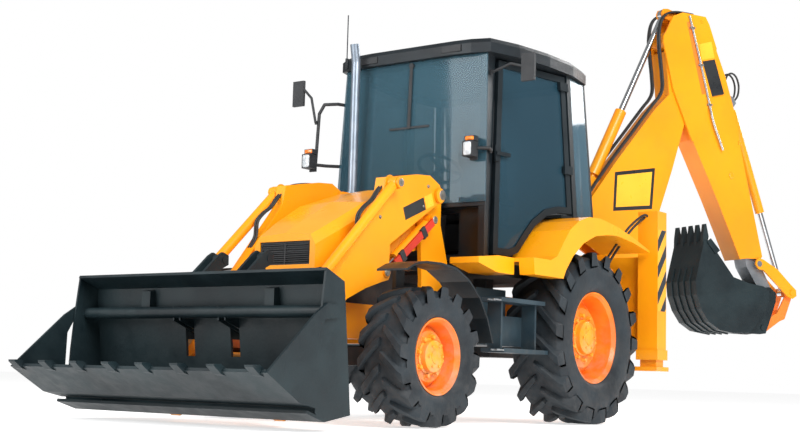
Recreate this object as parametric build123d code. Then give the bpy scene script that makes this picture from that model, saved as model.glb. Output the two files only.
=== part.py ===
from build123d import *
import math
import os

# Backhoe loader, millimetres. Working frame: ground under the rear axle, +X forward, +Y left, +Z up.
# Every piece is moved at the end so that the origin is the middle of the machine's box on the ground.

# ---------------------------------------------------------------- driving sizes
WHEELBASE = 2170.0
REAR_R, REAR_W, REAR_Y, REAR_RIM_R = 715.0, 480.0, 885.0, 385.0
FRONT_R, FRONT_W, FRONT_Y, FRONT_RIM_R = 500.0, 375.0, 880.0, 280.0
KING_Y = 740.0
RAIL_IN, RAIL_OUT = 210.0, 270.0
RAIL_LOW, RAIL_TOP = 650.0, 880.0
REAR_RAIL_LOW, REAR_RAIL_TOP = 850.0, 1060.0
RUN = 0.05            # radial clearance of a pin in its hole
TYRE_GAP = 0.4        # between tyre and rim
BONNET_Y = 385.0
TOWER_Y0, TOWER_Y1 = 395.0, 430.0
ARM_Y0, ARM_Y1 = 440.0, 530.0
ARM_PIVOT = (1505.0, 1744.0)
LIFT_BASE = (1545.0, 1552.0)
LIFT_EYE = (2143.0, 1104.0)
TILT_BASE = (2125.0, 1760.0)
TILT_Y = 577.0
BUCKET_PIN = (3190.0, 115.0)
TILT_EYE = (3262.0, 700.0)
CROSS_TUBE = (3060.0, 430.0)
BUCKET_HALF = 1175.0
CLAM_PIVOT = (3475.0, 745.0)
CLAM_HEAD = (3110.0, 1130.0)
CLAM_EYE = (3235.0, 640.0)
CLAM_Y = 210.0
FLOOR_Z0, FLOOR_Z1 = 1180.0, 1290.0
ROOF_Z0, ROOF_Z1, ROOF_Z2 = 2930.0, 3010.0, 3070.0
# cab corners: the door's front foot, and the foot and head of the middle and rear posts, which lean inwards
A_FOOT = (1040.0, 720.0, 1330.0)
B_FOOT, B_HEAD = (50.0, 895.0, 1745.0), (110.0, 840.0, 2915.0)
C_FOOT, C_HEAD = (-400.0, 830.0, 1745.0), (-300.0, 781.0, 2915.0)
DOOR_T = 36.0
POST_X0, POST_X1, POST_Y0, POST_Y1 = -1150.0, -970.0, 985.0, 1175.0
POST_Z0, POST_Z1 = 560.0, 1880.0
SLEW_X = -1405.0
SIDE_SHIFT = 324.0
SLEW_ANGLE = 28.0
BOOM_FOOT = (200.0, 1150.0)
BOOM_RAM_BASE = (170.0, 1480.0)
BOOM_RAM_EYE = (540.0, 2120.0)
BOOM_HALF, BOOM_PLATE = 115.0, 20.0
DIPPER_PIVOT = (780.0, 3721.0)
DIPPER_RAM_BASE = (-75.0, 2245.0)
DIPPER_RAM_EYE = (765.0, 4000.0)
BUCKET_HINGE = (1990.0, 1250.0)
CROWD_BASE = (1590.0, 3190.0)
LINK_PIN = (2262.0, 1300.0)
LEVER_PIN = (1850.0, 1570.0)
BUCKET_LINK_PIN = (1915.0, 935.0)
DIG_HALF = 235.0
TILT_RANGE = (-20.0, 105.0)
CLAM_MAX, BOOM_DROP, DIPPER_OUT, DIG_OPEN = 50.0, 105.0, 115.0, 170.0
FOOT_Z = 462.0


# ---------------------------------------------------------------- shape helpers
def box(x0, x1, y0, y1, z0, z1):
    return Pos((x0 + x1) / 2, (y0 + y1) / 2, (z0 + z1) / 2) * Box(abs(x1 - x0), abs(y1 - y0), abs(z1 - z0))


def plate(points, y0, y1):
    """Side profile of (x, z) points, as thick as from y0 to y1."""
    wire = Wire.make_polygon([(x, y0, z) for x, z in points], close=True)
    return Solid.extrude(Face(wire), Vector(0, y1 - y0, 0))


def plan(points, z0, z1):
    """Plan outline of (x, y) points, from z0 up to z1."""
    wire = Wire.make_polygon([(x, y, z0) for x, y in points], close=True)
    return Solid.extrude(Face(wire), Vector(0, 0, z1 - z0))


def front(points, x0, x1):
    """Front profile of (y, z) points, from x0 to x1."""
    wire = Wire.make_polygon([(x0, y, z) for y, z in points], close=True)
    return Solid.extrude(Face(wire), Vector(x1 - x0, 0, 0))


def disc(at, radius, y0, y1):
    """Cylinder along Y round the (x, z) point."""
    low = min(y0, y1)
    base = Plane(origin=(at[0], low, at[1]), z_dir=(0, 1, 0))
    return Solid.make_cylinder(radius, abs(y1 - y0), base)


def bar(p, q, radius):
    """Round bar from point p to point q."""
    p, q = Vector(*p), Vector(*q)
    return Solid.make_cylinder(radius, (q - p).length, Plane(origin=p, z_dir=q - p))


def chain(points, radius):
    """Round bars end to end, with balls at the inner corners."""
    body = None
    for p, q in zip(points, points[1:]):
        piece = bar(p, q, radius)
        body = piece if body is None else body + piece
    for p in points[1:-1]:
        body = body + Pos(*p) * Sphere(radius)
    return body


def strip(points, thick):
    """Closed outline of a band that runs along the (x, z) points, thick to the left of the way."""
    left = []
    for i, (x, z) in enumerate(points):
        ways = []
        for a, b in ((i - 1, i), (i, i + 1)):
            if a >= 0 and b < len(points):
                dx, dz = points[b][0] - points[a][0], points[b][1] - points[a][1]
                length = math.hypot(dx, dz)
                ways.append((-dz / length, dx / length))
        nx, nz = sum(w[0] for w in ways), sum(w[1] for w in ways)
        size = math.hypot(nx, nz)
        nx, nz = nx / size, nz / size
        reach = thick / (nx * ways[0][0] + nz * ways[0][1])
        left.append((x + nx * reach, z + nz * reach))
    return list(points) + left[::-1]


def both(shape):
    """The shape and its twin on the right side."""
    return shape + mirror(shape, about=Plane.XZ)


def pair(shape):
    """Two separate solids, left and right."""
    return Compound(children=[*shape.solids(), *mirror(shape, about=Plane.XZ).solids()])


def group(*shapes):
    return Compound(children=[s for shape in shapes for s in shape.solids()])


def along(p, q, dist):
    """The (x, z) point dist on from p towards q."""
    length = math.hypot(q[0] - p[0], q[1] - p[1])
    return (p[0] + (q[0] - p[0]) * dist / length, p[1] + (q[1] - p[1]) * dist / length)


def ram(base, eye, y, r_barrel, r_rod, barrel_len, rod_from, eye_r, eye_half, base_half, pin_r):
    """Barrel and rod between two (x, z) points in the plane y. The rod's inner end lies rod_from on from the base."""
    b0, b1 = along(base, eye, eye_r * 1.6), along(base, eye, barrel_len)
    barrel = bar((b0[0], y, b0[1]), (b1[0], y, b1[1]), r_barrel)
    n0 = along(base, eye, eye_r * 0.5)
    barrel += bar((n0[0], y, n0[1]), (b0[0], y, b0[1]), min(base_half - 1, r_barrel))
    barrel += disc(base, eye_r, y - base_half, y + base_half)
    r0 = along(base, eye, eye_r * 2.2)
    barrel -= bar((r0[0], y, r0[1]), (b1[0], y, b1[1]), r_rod + RUN)
    barrel -= disc(base, pin_r + RUN, y - 2 * base_half - 50, y + 2 * base_half + 50)
    start, neck, tip = along(base, eye, rod_from), along(eye, base, eye_r * 1.7), along(eye, base, eye_r * 0.5)
    rod = bar((start[0], y, start[1]), (neck[0], y, neck[1]), r_rod)
    rod += bar((neck[0], y, neck[1]), (tip[0], y, tip[1]), min(eye_half - 1, r_rod))
    rod += disc(eye, eye_r, y - eye_half, y + eye_half)
    rod -= disc(eye, eye_r * 0.45, y - eye_half - 1, y + eye_half + 1)
    return barrel, rod


parts = {}

# ---------------------------------------------------------------- chassis
FRAME_FRONT = 2560.0
rail = [(-1060, REAR_RAIL_LOW), (-1060, REAR_RAIL_TOP), (600, REAR_RAIL_TOP), (900, RAIL_TOP),
        (FRAME_FRONT, RAIL_TOP), (FRAME_FRONT, RAIL_LOW), (800, RAIL_LOW), (500, REAR_RAIL_LOW)]
frame = both(plate(rail, RAIL_IN, RAIL_OUT))
for x0, x1, z0, z1 in ((-200, 200, 1010, 1060), (700, 800, 760, 860), (1350, 1450, 620, 650),
                       (1620, 1720, 600, 650), (2070, 2270, 620, 650), (2330, 2430, 600, 650),
                       (2500, FRAME_FRONT, 650, 880)):
    frame += box(x0, x1, -RAIL_OUT, RAIL_OUT, z0, z1)
frame += box(FRAME_FRONT, 2640, -RAIL_OUT, RAIL_OUT, 600, 1085)
parts["main_frame"] = frame

tower = plate([(1220, 700), (1560, 700), (1560, 1100), (1590, 1500), (1575, 1790), (1530, 1830),
               (1440, 1830), (1330, 1560), (1220, 1250)], TOWER_Y0, TOWER_Y1)
tower += box(1220, 1560, RAIL_OUT, TOWER_Y0, 700, 860)
tower += disc(ARM_PIVOT, 75, TOWER_Y1, ARM_Y0 - 5) + disc(ARM_PIVOT, 32, TOWER_Y1, ARM_Y1 + 26)
tower += disc(ARM_PIVOT, 55, ARM_Y1 + 6, ARM_Y1 + 26)
tower += disc(LIFT_BASE, 50, TOWER_Y1, 452) + disc(LIFT_BASE, 24, TOWER_Y1, 530)
tower += disc(LIFT_BASE, 40, 520, 532)
parts["loader_towers"] = pair(tower)

parts["engine_block"] = box(1500, 2420, -200, 200, 650, 1240)

axle = box(2105, 2235, -640, 640, 425, 560) + box(2120, 2220, -110, 110, 560, 620)
for side in (1, -1):
    for z0, z1 in ((560, 600), (385, 425)):
        axle += box(2105, 2235, side * 560, side * 790, z0, z1)
axle -= Pos(WHEELBASE, KING_Y, 0) * Cylinder(30 + RUN, 4000) + Pos(WHEELBASE, -KING_Y, 0) * Cylinder(30 + RUN, 4000)
parts["front_axle"] = axle

rear_axle = disc((0, REAR_R), 105, -690, 690) + box(-190, 190, -180, 180, 540, REAR_RAIL_LOW + 160)
rear_axle += both(box(-130, 130, RAIL_IN - 20, RAIL_OUT, 700, REAR_RAIL_LOW))
rear_axle += disc((0, REAR_R), 170, 640, 690) + disc((0, REAR_R), 170, -690, -640)
rear_axle += disc((0, REAR_R), 60, -1015, 1015)
rear_axle -= both(box(-191, 191, RAIL_IN, RAIL_OUT, REAR_RAIL_LOW, REAR_RAIL_TOP))
parts["rear_axle"] = rear_axle

# side tanks between the axles, with two treads in front of each
tank = box(780, 1340, 450, 880, 610, 840) + box(780, 1210, RAIL_OUT, 700, 640, 1060)
steps = None
for z, x0, x1 in ((935, 750, 1390), (555, 700, 1340)):
    tread = box(x0, x1, 840, 1050, z, z + 32)
    tread -= box(x0 + 30, x1 - 30, 870, 1020, z + 8, z + 40)
    for k in range(1, 10):
        x = x0 + 30 + (x1 - x0 - 60) * k / 10
        tread += box(x - 5, x + 5, 870, 1020, z + 8, z + 32)
    steps = tread if steps is None else steps + tread
steps += box(800, 825, 880, 1000, 555, 935) + box(1290, 1315, 880, 1000, 555, 935)
parts["tanks_and_steps"] = pair(tank + steps)

# ---------------------------------------------------------------- cab
floor = plan([(1060, -690), (1060, 690), (640, 690), (640, 636), (-400, 636), (-400, -636), (640, -636), (640, -690)],
             FLOOR_Z0, FLOOR_Z1)
for x in (-300, 450):
    floor += both(box(x - 60, x + 60, RAIL_IN, RAIL_OUT + 60, REAR_RAIL_TOP, FLOOR_Z0))
floor += both(box(1000, 1060, RAIL_IN, RAIL_OUT, RAIL_TOP, FLOOR_Z0))
parts["cab_floor"] = floor

fender_top = [(1060, 1290), (800, 1290), (700, 1330), (610, 1440), (500, 1560), (350, 1650), (190, 1697),
              (0, 1705), (-300, 1670), (-600, 1605), (-920, 1520)]
fender_low = [(-920, 1500), (-600, 1560), (-300, 1590), (-130, 1580), (80, 1550), (280, 1470), (450, 1350),
              (560, 1230), (600, 1160), (1040, 1160)]
fender = plate(fender_top + fender_low, 990, 1125)
shell_low = [(-920, 1500), (-600, 1580), (-300, 1640), (0, 1670), (190, 1662), (340, 1620), (480, 1530),
             (590, 1420), (680, 1300), (790, 1260), (1060, 1260)]
fender += plate(fender_top + shell_low, 700, 990)
fender += plate(fender_top[3:] + shell_low[:8], 642, 700)

sill = plate([(1060, 1160), (1060, 1290), (1290, 1290), (1560, 1260), (1560, 1215), (1300, 1160)], 690, 950)
parts["fenders_and_sills"] = pair(fender + sill)


def leaning(low, high, z0, z1):
    """Upright piece between two plan outlines of (x, y) points, low at z0 and high at z1."""
    rings = [Wire.make_polygon([(x, y, z) for x, y in line], close=True) for line, z in ((low, z0), (high, z1))]
    return Solid.make_loft(rings, True)


def post(foot, head, half, z0, z1):
    """Square post from foot to head, (x, y) each."""
    ends = [[(x - half, y - half), (x + half, y - half), (x + half, y + half), (x - half, y + half)]
            for x, y in (foot, head)]
    return leaning(ends[0], ends[1], z0, z1)


def leaf(foot, level, head):
    """Plane of a flat side: x on the level from foot towards level, y up the slope to head, z inwards."""
    along_x = Vector(level[0] - foot[0], level[1] - foot[1], 0)
    return Plane(origin=foot, x_dir=along_x, z_dir=along_x.cross(Vector(*head) - Vector(*foot)))


cab = leaning([(1048, 650), (1185, 690), (1185, 748), (1050, 708)], [(950, 610), (1128, 655), (1128, 712), (950, 670)],
              FLOOR_Z1, ROOF_Z0)
cab += post((B_FOOT[0] - 35, B_FOOT[1] - 30), (B_HEAD[0] - 35, B_HEAD[1] - 29), 32, 1710, ROOF_Z0)
cab += post((C_FOOT[0], C_FOOT[1] - 30), (C_HEAD[0], C_HEAD[1] - 36), 30, 1706, ROOF_Z0)
side_sheet = plate([(790, FLOOR_Z1), (690, 1345), (600, 1450), (490, 1570), (340, 1665), (190, 1712), (-20, 1720),
                    (-420, 1720), (-420, FLOOR_Z1)], 600, 638)
cab += side_sheet
cab += plan([(960, 628), (75, 790), (75, 742), (960, 580)], 2870, ROOF_Z0)
cab += plan([(75, 790), (-300, 742), (-300, 700), (75, 745)], 2870, ROOF_Z0)
cab += plan([(190, 610), (190, 862), (60, 886), (-430, 822), (-430, 610)], 1706, 1730)
cab = both(cab)
cab += box(1048, 1096, -690, 690, FLOOR_Z1, 1330) + box(-430, -370, -638, 638, 1600, 1740)
cab += both(box(1048, 1096, 450, 690, FLOOR_Z1, 1700)) + box(1048, 1096, -690, 690, 1660, 1730)
cab += plan([(1090, 700), (1174, 735), (1194, 405), (1194, -405), (1174, -735), (1090, -700)], 1700, 1730)
cab += box(-330, -270, -730, 730, 2880, ROOF_Z0) + box(1080, 1120, -690, 690, 2880, ROOF_Z0)
cab += box(-430, -400, -638, 638, FLOOR_Z0, 1640)
parts["cab_frame"] = cab

roof_line = [(1215, 430), (1200, 600), (1150, 755), (850, 840), (450, 888), (60, 885), (-290, 812), (-410, 690)]
roof_line = roof_line + [(x, -y) for x, y in roof_line[::-1]]
roof = plan(roof_line, ROOF_Z0, ROOF_Z1)
ROOF_MID = 400.0
levels = []
for z, share in ((ROOF_Z1, 1.0), (ROOF_Z1 + 38, 0.965), (ROOF_Z2, 0.87)):
    levels.append(Wire.make_polygon([(ROOF_MID + (x - ROOF_MID) * share, y * share, z) for x, y in roof_line],
                                    close=True))
roof += Solid.make_loft(levels[:2], True) + Solid.make_loft(levels[1:], True)
for y in (420, -420):
    roof -= box(1180, 1230, y - 95, y + 95, 2950, 3005)
AERIAL_AT = (1176.0, -690.0)
roof += bar((*AERIAL_AT, ROOF_Z1 - 60), (*AERIAL_AT, ROOF_Z1 + 30), 14) + bar((*AERIAL_AT, ROOF_Z1), (*AERIAL_AT, 3420), 5)
parts["cab_roof"] = roof

screen_low, screen_top = [(1184, 752), (1206, 430)], [(1136, 716), (1164, 410)]
bands = []
for line in (screen_low, screen_top):
    outer_band = line + [(x, -y) for x, y in line[::-1]]
    bands.append(outer_band + [(x - 8, y) for x, y in outer_band[::-1]])
parts["windscreen"] = leaning(bands[0], bands[1], 1732, ROOF_Z0 - 2)

rear_side = leaf(C_FOOT, B_FOOT, C_HEAD)
REAR_SIDE_LEN = math.hypot(B_FOOT[0] - C_FOOT[0], B_FOOT[1] - C_FOOT[1])
glass = rear_side.location * plan([(36, -12), (REAR_SIDE_LEN - 76, -12), (REAR_SIDE_LEN - 26, 1178), (128, 1178)], -8, 0)
rear_glass = plate([(C_FOOT[0] - 22, 1742), (C_FOOT[0] - 14, 1742), (C_HEAD[0] - 22, 2878), (C_HEAD[0] - 30, 2878)],
                   -705, 705)
parts["cab_windows"] = group(pair(glass), rear_glass)

# doors: rear-hinged, a slim frame round one pane, cut round the wheel arch
door_side = leaf(B_FOOT, A_FOOT, B_HEAD)
DOOR_LEN = math.hypot(A_FOOT[0] - B_FOOT[0], A_FOOT[1] - B_FOOT[1])
door_head = door_side.to_local_coords(Vector(*B_HEAD))
LEAN = door_head.X / door_head.Y
DOOR_LOW, DOOR_HIGH = A_FOOT[2] - B_FOOT[2], B_HEAD[2] - B_FOOT[2] - 2
DOOR_SHAPE = [(20, 0), (190, -7), (340, -45), (490, -145), (600, -265), (700, -380), (790, DOOR_LOW),
              (DOOR_LEN - 8, DOOR_LOW), (DOOR_LEN - 98, DOOR_HIGH), (85, DOOR_HIGH)]


def inset(points, dist):
    """Outline moved inwards by dist, for an anticlockwise outline."""
    out, n = [], len(points)
    for i in range(n):
        a, b, c = points[i - 1], points[i], points[(i + 1) % n]
        d1, d2 = (b[0] - a[0], b[1] - a[1]), (c[0] - b[0], c[1] - b[1])
        l1, l2 = math.hypot(*d1), math.hypot(*d2)
        n1, n2 = (-d1[1] / l1, d1[0] / l1), (-d2[1] / l2, d2[0] / l2)
        s = (n1[0] + n2[0], n1[1] + n2[1])
        k = dist * 2 / (s[0] ** 2 + s[1] ** 2)
        out.append((b[0] + s[0] * k, b[1] + s[1] * k))
    return out


hole = inset(DOOR_SHAPE, 55)
pane = plan(inset(DOOR_SHAPE, 52), 14, 22)
door = plan(DOOR_SHAPE, 0, DOOR_T) - plan(hole, -1, DOOR_T + 1)
door = door - pane
for y0 in (1040, 330):
    at = y0 * LEAN
    door += box(at + 30, at + 110, y0, y0 + 70, -26, 2) + box(at, at + 50, y0, y0 + 70, -20, -9)
    door += bar((at, y0, -14), (at + 70 * LEAN, y0 + 70, -14), 9)
door += box(DOOR_LEN - 78, DOOR_LEN - 32, 330, 460, -16, 2) + box(DOOR_LEN - 200, DOOR_LEN - 40, 380, 410, -26, -14)
door = door_side.location * door
pane = door_side.location * pane
parts["door_left"] = door
parts["door_glass_left"] = pane
parts["door_right"] = mirror(door, about=Plane.XZ)
parts["door_glass_right"] = mirror(pane, about=Plane.XZ)
DOOR_PIN = tuple(door_side.from_local_coords(Vector(0, 0, -14)))
DOOR_WAY = tuple((Vector(*B_HEAD) - Vector(*B_FOOT)).normalized())

# seat, console and steering wheel
seat = box(60, 500, -260, 260, 1660, 1780) + plate([(60, 1780), (160, 1780), (60, 2350), (-30, 2350)], -240, 240)
seat += box(150, 400, -180, 180, FLOOR_Z1, 1660)
seat += both(box(60, 420, 270, 340, 1830, 1890) + box(100, 160, 260, 300, 1700, 1850))
parts["seat"] = seat
console = plate([(900, FLOOR_Z1), (1020, FLOOR_Z1), (1040, 1640), (900, 1900), (820, 1900), (880, 1640)], -170, 170)
column_top = (760.0, 0.0, 2060.0)
console += bar((860, 0, 1860), column_top, 26)
console += box(520, 700, -560, -380, FLOOR_Z1, 1850)
tilt = Rot(0, -30, 0)
wheel = Torus(190, 15) + Cylinder(40, 40)
for k in range(3):
    wheel += Rot(0, 0, 120 * k) * (Pos(100, 0, 0) * Box(190, 30, 12))
wheel = Pos(735, 0, 2100) * (tilt * wheel)
wheel -= bar((860, 0, 1860), column_top, 26)
parts["console_and_wheel"] = group(console, wheel)

# ---------------------------------------------------------------- bonnet and nose
HINGE_X, HINGE_Z = 1235.0, 1865.0
NOSE_Y = 290.0


def section(x, half, z_top, z_low):
    crown = 0.84
    pts = [(-half, z_low), (-half, z_top - 90), (-half * crown, z_top - 18), (0, z_top),
           (half * crown, z_top - 18), (half, z_top - 90), (half, z_low)]
    return [(x, y, z) for y, z in pts]


BONNET_STATIONS = [(1240, 372, 1845, 1400), (1700, 375, 1795, 1290), (2150, 370, 1650, 1200),
                   (2450, 340, 1485, 1150), (2662, NOSE_Y, 1360, 1100)]


def hull(stations, shrink):
    rings = []
    for x, half, top, low in stations:
        ring = section(x, half - shrink, top - shrink, low)
        rings.append(Wire.make_polygon(ring, close=True))
    return Solid.make_loft(rings, True)


outer = hull(BONNET_STATIONS, 0)
inner_stations = [(x, half, top, low - 40) for x, half, top, low in BONNET_STATIONS]
inner_stations[0] = (1225, 372, 1848, 1360)
inner_stations[-1] = (2650, NOSE_Y + 2, 1366, 1060)
inner = hull(inner_stations, 12)
bonnet = outer - inner - box(2630, 2700, -240, 240, 1130, 1300)
ear_line = [(1244, 1816), (1285, 1818), (1264, 1870), (1240, 1875), (1226, 1865)]
bonnet += both(plate(ear_line, 262, 290) + disc((HINGE_X, HINGE_Z), 10, 262, 290))
parts["bonnet"] = bonnet
grille = box(2632, 2650, -239, 239, 1131, 1299) - box(2640, 2651, -225, 225, 1145, 1285)
for k in range(9):
    z = 1152 + 15 * k
    grille += box(2634, 2656, -228, 228, z, z + 6)
grille += both(box(2634, 2656, 0, 6, 1140, 1290))
parts["grille"] = grille

STACK_X, STACK_Y, STACK_BORE = 1290.0, -495.0, 30.0
STACK_TIP = (STACK_X + 30, 3110, 30, 150, math.hypot(30, 150))
stack = bar((STACK_X, STACK_Y, 1860), (STACK_X, STACK_Y, 2960), 37.5)
stack += bar((STACK_X, STACK_Y, 2960), (STACK_X + 30, STACK_Y, 3110), 37.5) + Pos(STACK_X, STACK_Y, 2960) * Sphere(37.5)
stack += bar((STACK_X, STACK_Y, 1500), (STACK_X, STACK_Y, 1860), 50) + box(1096, STACK_X, STACK_Y - 15, STACK_Y + 15, 1560, 1600)
stack -= bar((STACK_X, STACK_Y, 2960), (STACK_X + 31, STACK_Y, 3115), STACK_BORE)
parts["exhaust_stack"] = stack

# ---------------------------------------------------------------- wheels
def turned(points, y_mid, x, z, side):
    """Ring turned about the wheel's axle from (radius, offset outwards) points."""
    wire = Wire.make_polygon([(r, 0, w) for r, w in points], close=True)
    solid = Solid.revolve(Face(wire), 360, Axis((0, 0, 0), (0, 0, 1)))
    solid = Rot(-90, 0, 0) * solid if side > 0 else Rot(90, 0, 0) * solid
    return Pos(x, y_mid * side, z) * solid


def faceted(loops, ring=False):
    """Solid of flat facets through loops of as many corners each, capped at both ends or closed into a ring."""
    faces = [] if ring else [Face(Wire.make_polygon(loop, close=True)) for loop in (loops[0], loops[-1])]
    for a, b in zip(loops, loops[1:] + loops[:1] if ring else loops[1:]):
        for k in range(len(a)):
            p, q, r, t = (Vector(*v) for v in (a[k - 1], a[k], b[k], b[k - 1]))
            if abs((q - p).cross(t - p).normalized().dot(r - p)) < 0.001:
                faces.append(Face(Wire.make_polygon([p, q, r, t], close=True)))
            else:
                faces += [Face(Wire.make_polygon([p, q, r], close=True)), Face(Wire.make_polygon([p, r, t], close=True))]
    return Solid(Shell(faces))


def rings(points, sides):
    """Ring of flat facets whose section runs through (radius, offset) points, with so many sides around."""
    turns = [2 * math.pi * k / sides for k in range(sides)]
    return faceted([[(r * math.cos(t), r * math.sin(t), w) for t in turns] for r, w in points], ring=True)


def flat_foot(low, high, top, foot_r, c, s, w):
    """Corner at radius foot_r on the line turned by (c, s), set across so that a lug's flank lies flat."""
    n = (Vector(*high) - Vector(*low)).cross(Vector(*top) - Vector(*low))
    b = n.dot(Vector(*low) - Vector(foot_r * c, foot_r * s, w)) / n.dot(Vector(-s, c, 0))
    return (foot_r * c - b * s, foot_r * s + b * c, w)


def tyre(radius, width, rim_r, lugs, lug_h, x, y, side):
    core, h, sides = radius - lug_h, width / 2, lugs
    mid = rim_r + (core - rim_r) * 0.5
    bead = (rim_r - 8 + TYRE_GAP) / math.cos(math.pi / sides)
    outside = [(mid + 25, -h), (core, -h * 0.74), (core, h * 0.74), (mid + 25, h)]
    bore = [(mid - 30, h), (bead, h * 0.84), (bead, -h * 0.84), (mid - 30, -h)]
    solid = rings(outside + bore, sides)
    bars = []
    step = 360.0 / lugs
    for k in range(lugs):
        for hand in (1, -1):
            turn = step * k + (step / 2 if hand < 0 else 0)
            inner = [(core - 25, -34, 8 * hand), (radius - 6, -26, 8 * hand), (radius - 6, 26, 8 * hand),
                     (core - 25, 34, 8 * hand)]
            skew = math.radians(step * 0.95)
            c, s = math.cos(skew), math.sin(skew)
            w = (h - 2) * hand
            top = [((radius - 8) * c - b * s, (radius - 8) * s + b * c, w) for b in (-34, 34)]
            outer = [flat_foot(inner[0], inner[1], top[0], core - 60, c, s, w), *top,
                     flat_foot(inner[3], inner[2], top[1], core - 60, c, s, w)]
            bars.append(Rot(0, 0, turn) * faceted([inner, outer]))
    solid = solid.fuse(*bars)
    solid = Rot(-90, 0, 0) * solid
    if side < 0:
        solid = mirror(solid, about=Plane.XZ)
    return Pos(x, y * side, radius) * solid


def rim(radius, width, dish, hub_r, x, y, z, side, bore):
    h = width / 2 * 0.82
    ring = [(bore, dish - 30), (hub_r, dish - 30), (radius * 0.62, dish - 30), (radius * 0.80, dish - 95),
            (radius - 48, dish - 95), (radius - 48, -h + 20), (radius - 20, -h), (radius - 8, -h),
            (radius - 8, h), (radius - 20, h), (radius - 40, h - 30), (radius - 60, dish - 60),
            (radius * 0.82, dish - 62), (radius * 0.64, dish), (hub_r, dish), (hub_r, dish + 45),
            (hub_r - 14, dish + 60), (bore, dish + 60)]
    wire = Wire.make_polygon([(r, 0, w) for r, w in ring], close=True)
    solid = Solid.revolve(Face(wire), 360, Axis((0, 0, 0), (0, 0, 1)))
    solid = Rot(-90, 0, 0) * solid
    solid = mirror(solid, about=Plane.XZ) if side < 0 else solid
    return Pos(x, y * side, z) * solid


for name, side in (("left", 1), ("right", -1)):
    parts["rear_tyre_" + name] = tyre(REAR_R, REAR_W, REAR_RIM_R, 18, 46, 0, REAR_Y, side)
    parts["rear_rim_" + name] = rim(REAR_RIM_R, REAR_W, 80, 110, 0, REAR_Y, REAR_R, side, 60 + RUN)
    parts["front_tyre_" + name] = tyre(FRONT_R, FRONT_W, FRONT_RIM_R, 16, 36, WHEELBASE, FRONT_Y, side)
    parts["front_rim_" + name] = rim(FRONT_RIM_R, FRONT_W, 70, 80, WHEELBASE, FRONT_Y, FRONT_R, side, 45 + RUN)

# knuckles with the front mudguards on them
guard = [(2600, 1085), (2500, 1130), (2380, 1152), (2200, 1155), (2010, 1135), (1840, 1060), (1700, 950),
         (1590, 800), (1510, 620)]
guard_in = [(x, z - 14) for x, z in guard[:4]] + [(2014, 1121), (1848, 1047), (1711, 940), (1603, 793), (1524, 615)]
knuckle = box(2130, 2210, 700, 775, 426, 559) + Pos(WHEELBASE, KING_Y, 492.5) * Cylinder(30, 240)
knuckle += Pos(WHEELBASE, KING_Y, 605) * Cylinder(45, 8) + Pos(WHEELBASE, KING_Y, 381) * Cylinder(45, 8)
knuckle -= box(2100, 2240, 600, 900, 559, 601) - Pos(WHEELBASE, KING_Y, 580) * Cylinder(30, 60)
knuckle += disc((WHEELBASE, FRONT_R), 45, 770, 1000)
knuckle += disc((WHEELBASE, FRONT_R), 58, 770, 800)
stay = box(2120, 2220, 650, 682, 609, 1142) + box(2120, 2220, 650, 780, 609, 655)
knuckle += stay
mudguard = plate(guard + guard_in[::-1], 800, 1062) + box(2130, 2210, 660, 800, 1110, 1140)
knuckle += mudguard
parts["knuckle_left"] = knuckle
parts["knuckle_right"] = mirror(knuckle, about=Plane.XZ)

# ---------------------------------------------------------------- loader
arm_line = [(1452, 1690), (1440, 1760), (1490, 1830), (1618, 1886), (1790, 1872), (2176, 1800), (2205, 1650),
            (2238, 1600), (3140, 527), (3180, 430), (3212, 300), (3235, 200), (3240, 110), (3222, 60), (3190, 42),
            (3145, 60), (3100, 140), (3050, 331), (2585, 883), (2375, 973), (2190, 1030), (2110, 1050), (2085, 1104),
            (2108, 1164), (2100, 1315), (1500, 1684)]
arm = plate(arm_line, ARM_Y0, ARM_Y1) - disc(ARM_PIVOT, 32 + RUN, 300, 700)
arm -= disc(LIFT_EYE, 140, 456, 514)
arm += disc(LIFT_EYE, 36, ARM_Y1, ARM_Y1 + 12)
arm += disc(TILT_BASE, 62, ARM_Y1, 536) + disc(TILT_BASE, 26, ARM_Y1, 634) + disc(TILT_BASE, 42, 620, 634)
arm += disc(BUCKET_PIN, 30, ARM_Y1, 572) + disc(BUCKET_PIN, 30, 398, ARM_Y0)
arms = both(arm) + disc(CROSS_TUBE, 60, -ARM_Y0, ARM_Y0)
parts["loader_arms"] = arms

lift_barrel, lift_rod = ram(LIFT_BASE, LIFT_EYE, 485, 44, 25, 560, 125, 46, 24, 24, 24)
parts["lift_barrels"] = pair(lift_barrel)
parts["lift_rods"] = pair(lift_rod)
tilt_barrel, tilt_rod = ram(TILT_BASE, TILT_EYE, TILT_Y, 38, 24, 1230, 290, 46, 19, 38, 26)
parts["tilt_barrels"] = pair(tilt_barrel)
parts["tilt_rods"] = pair(tilt_rod)

back = [(3700, 118), (3530, 65), (3280, 105), (3375, 935), (3555, 1010)]
scoop = plate(strip(back[::-1], 20), -1150, 1150)
side = plate([(3375, 935), (3555, 1010), (3588, 727), (3608, 480), (3622, 120), (3530, 65), (3280, 105)], 1135, 1150)
side -= disc(CLAM_PIVOT, 40 + RUN, 1100, 1200)
scoop += both(side)
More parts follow.
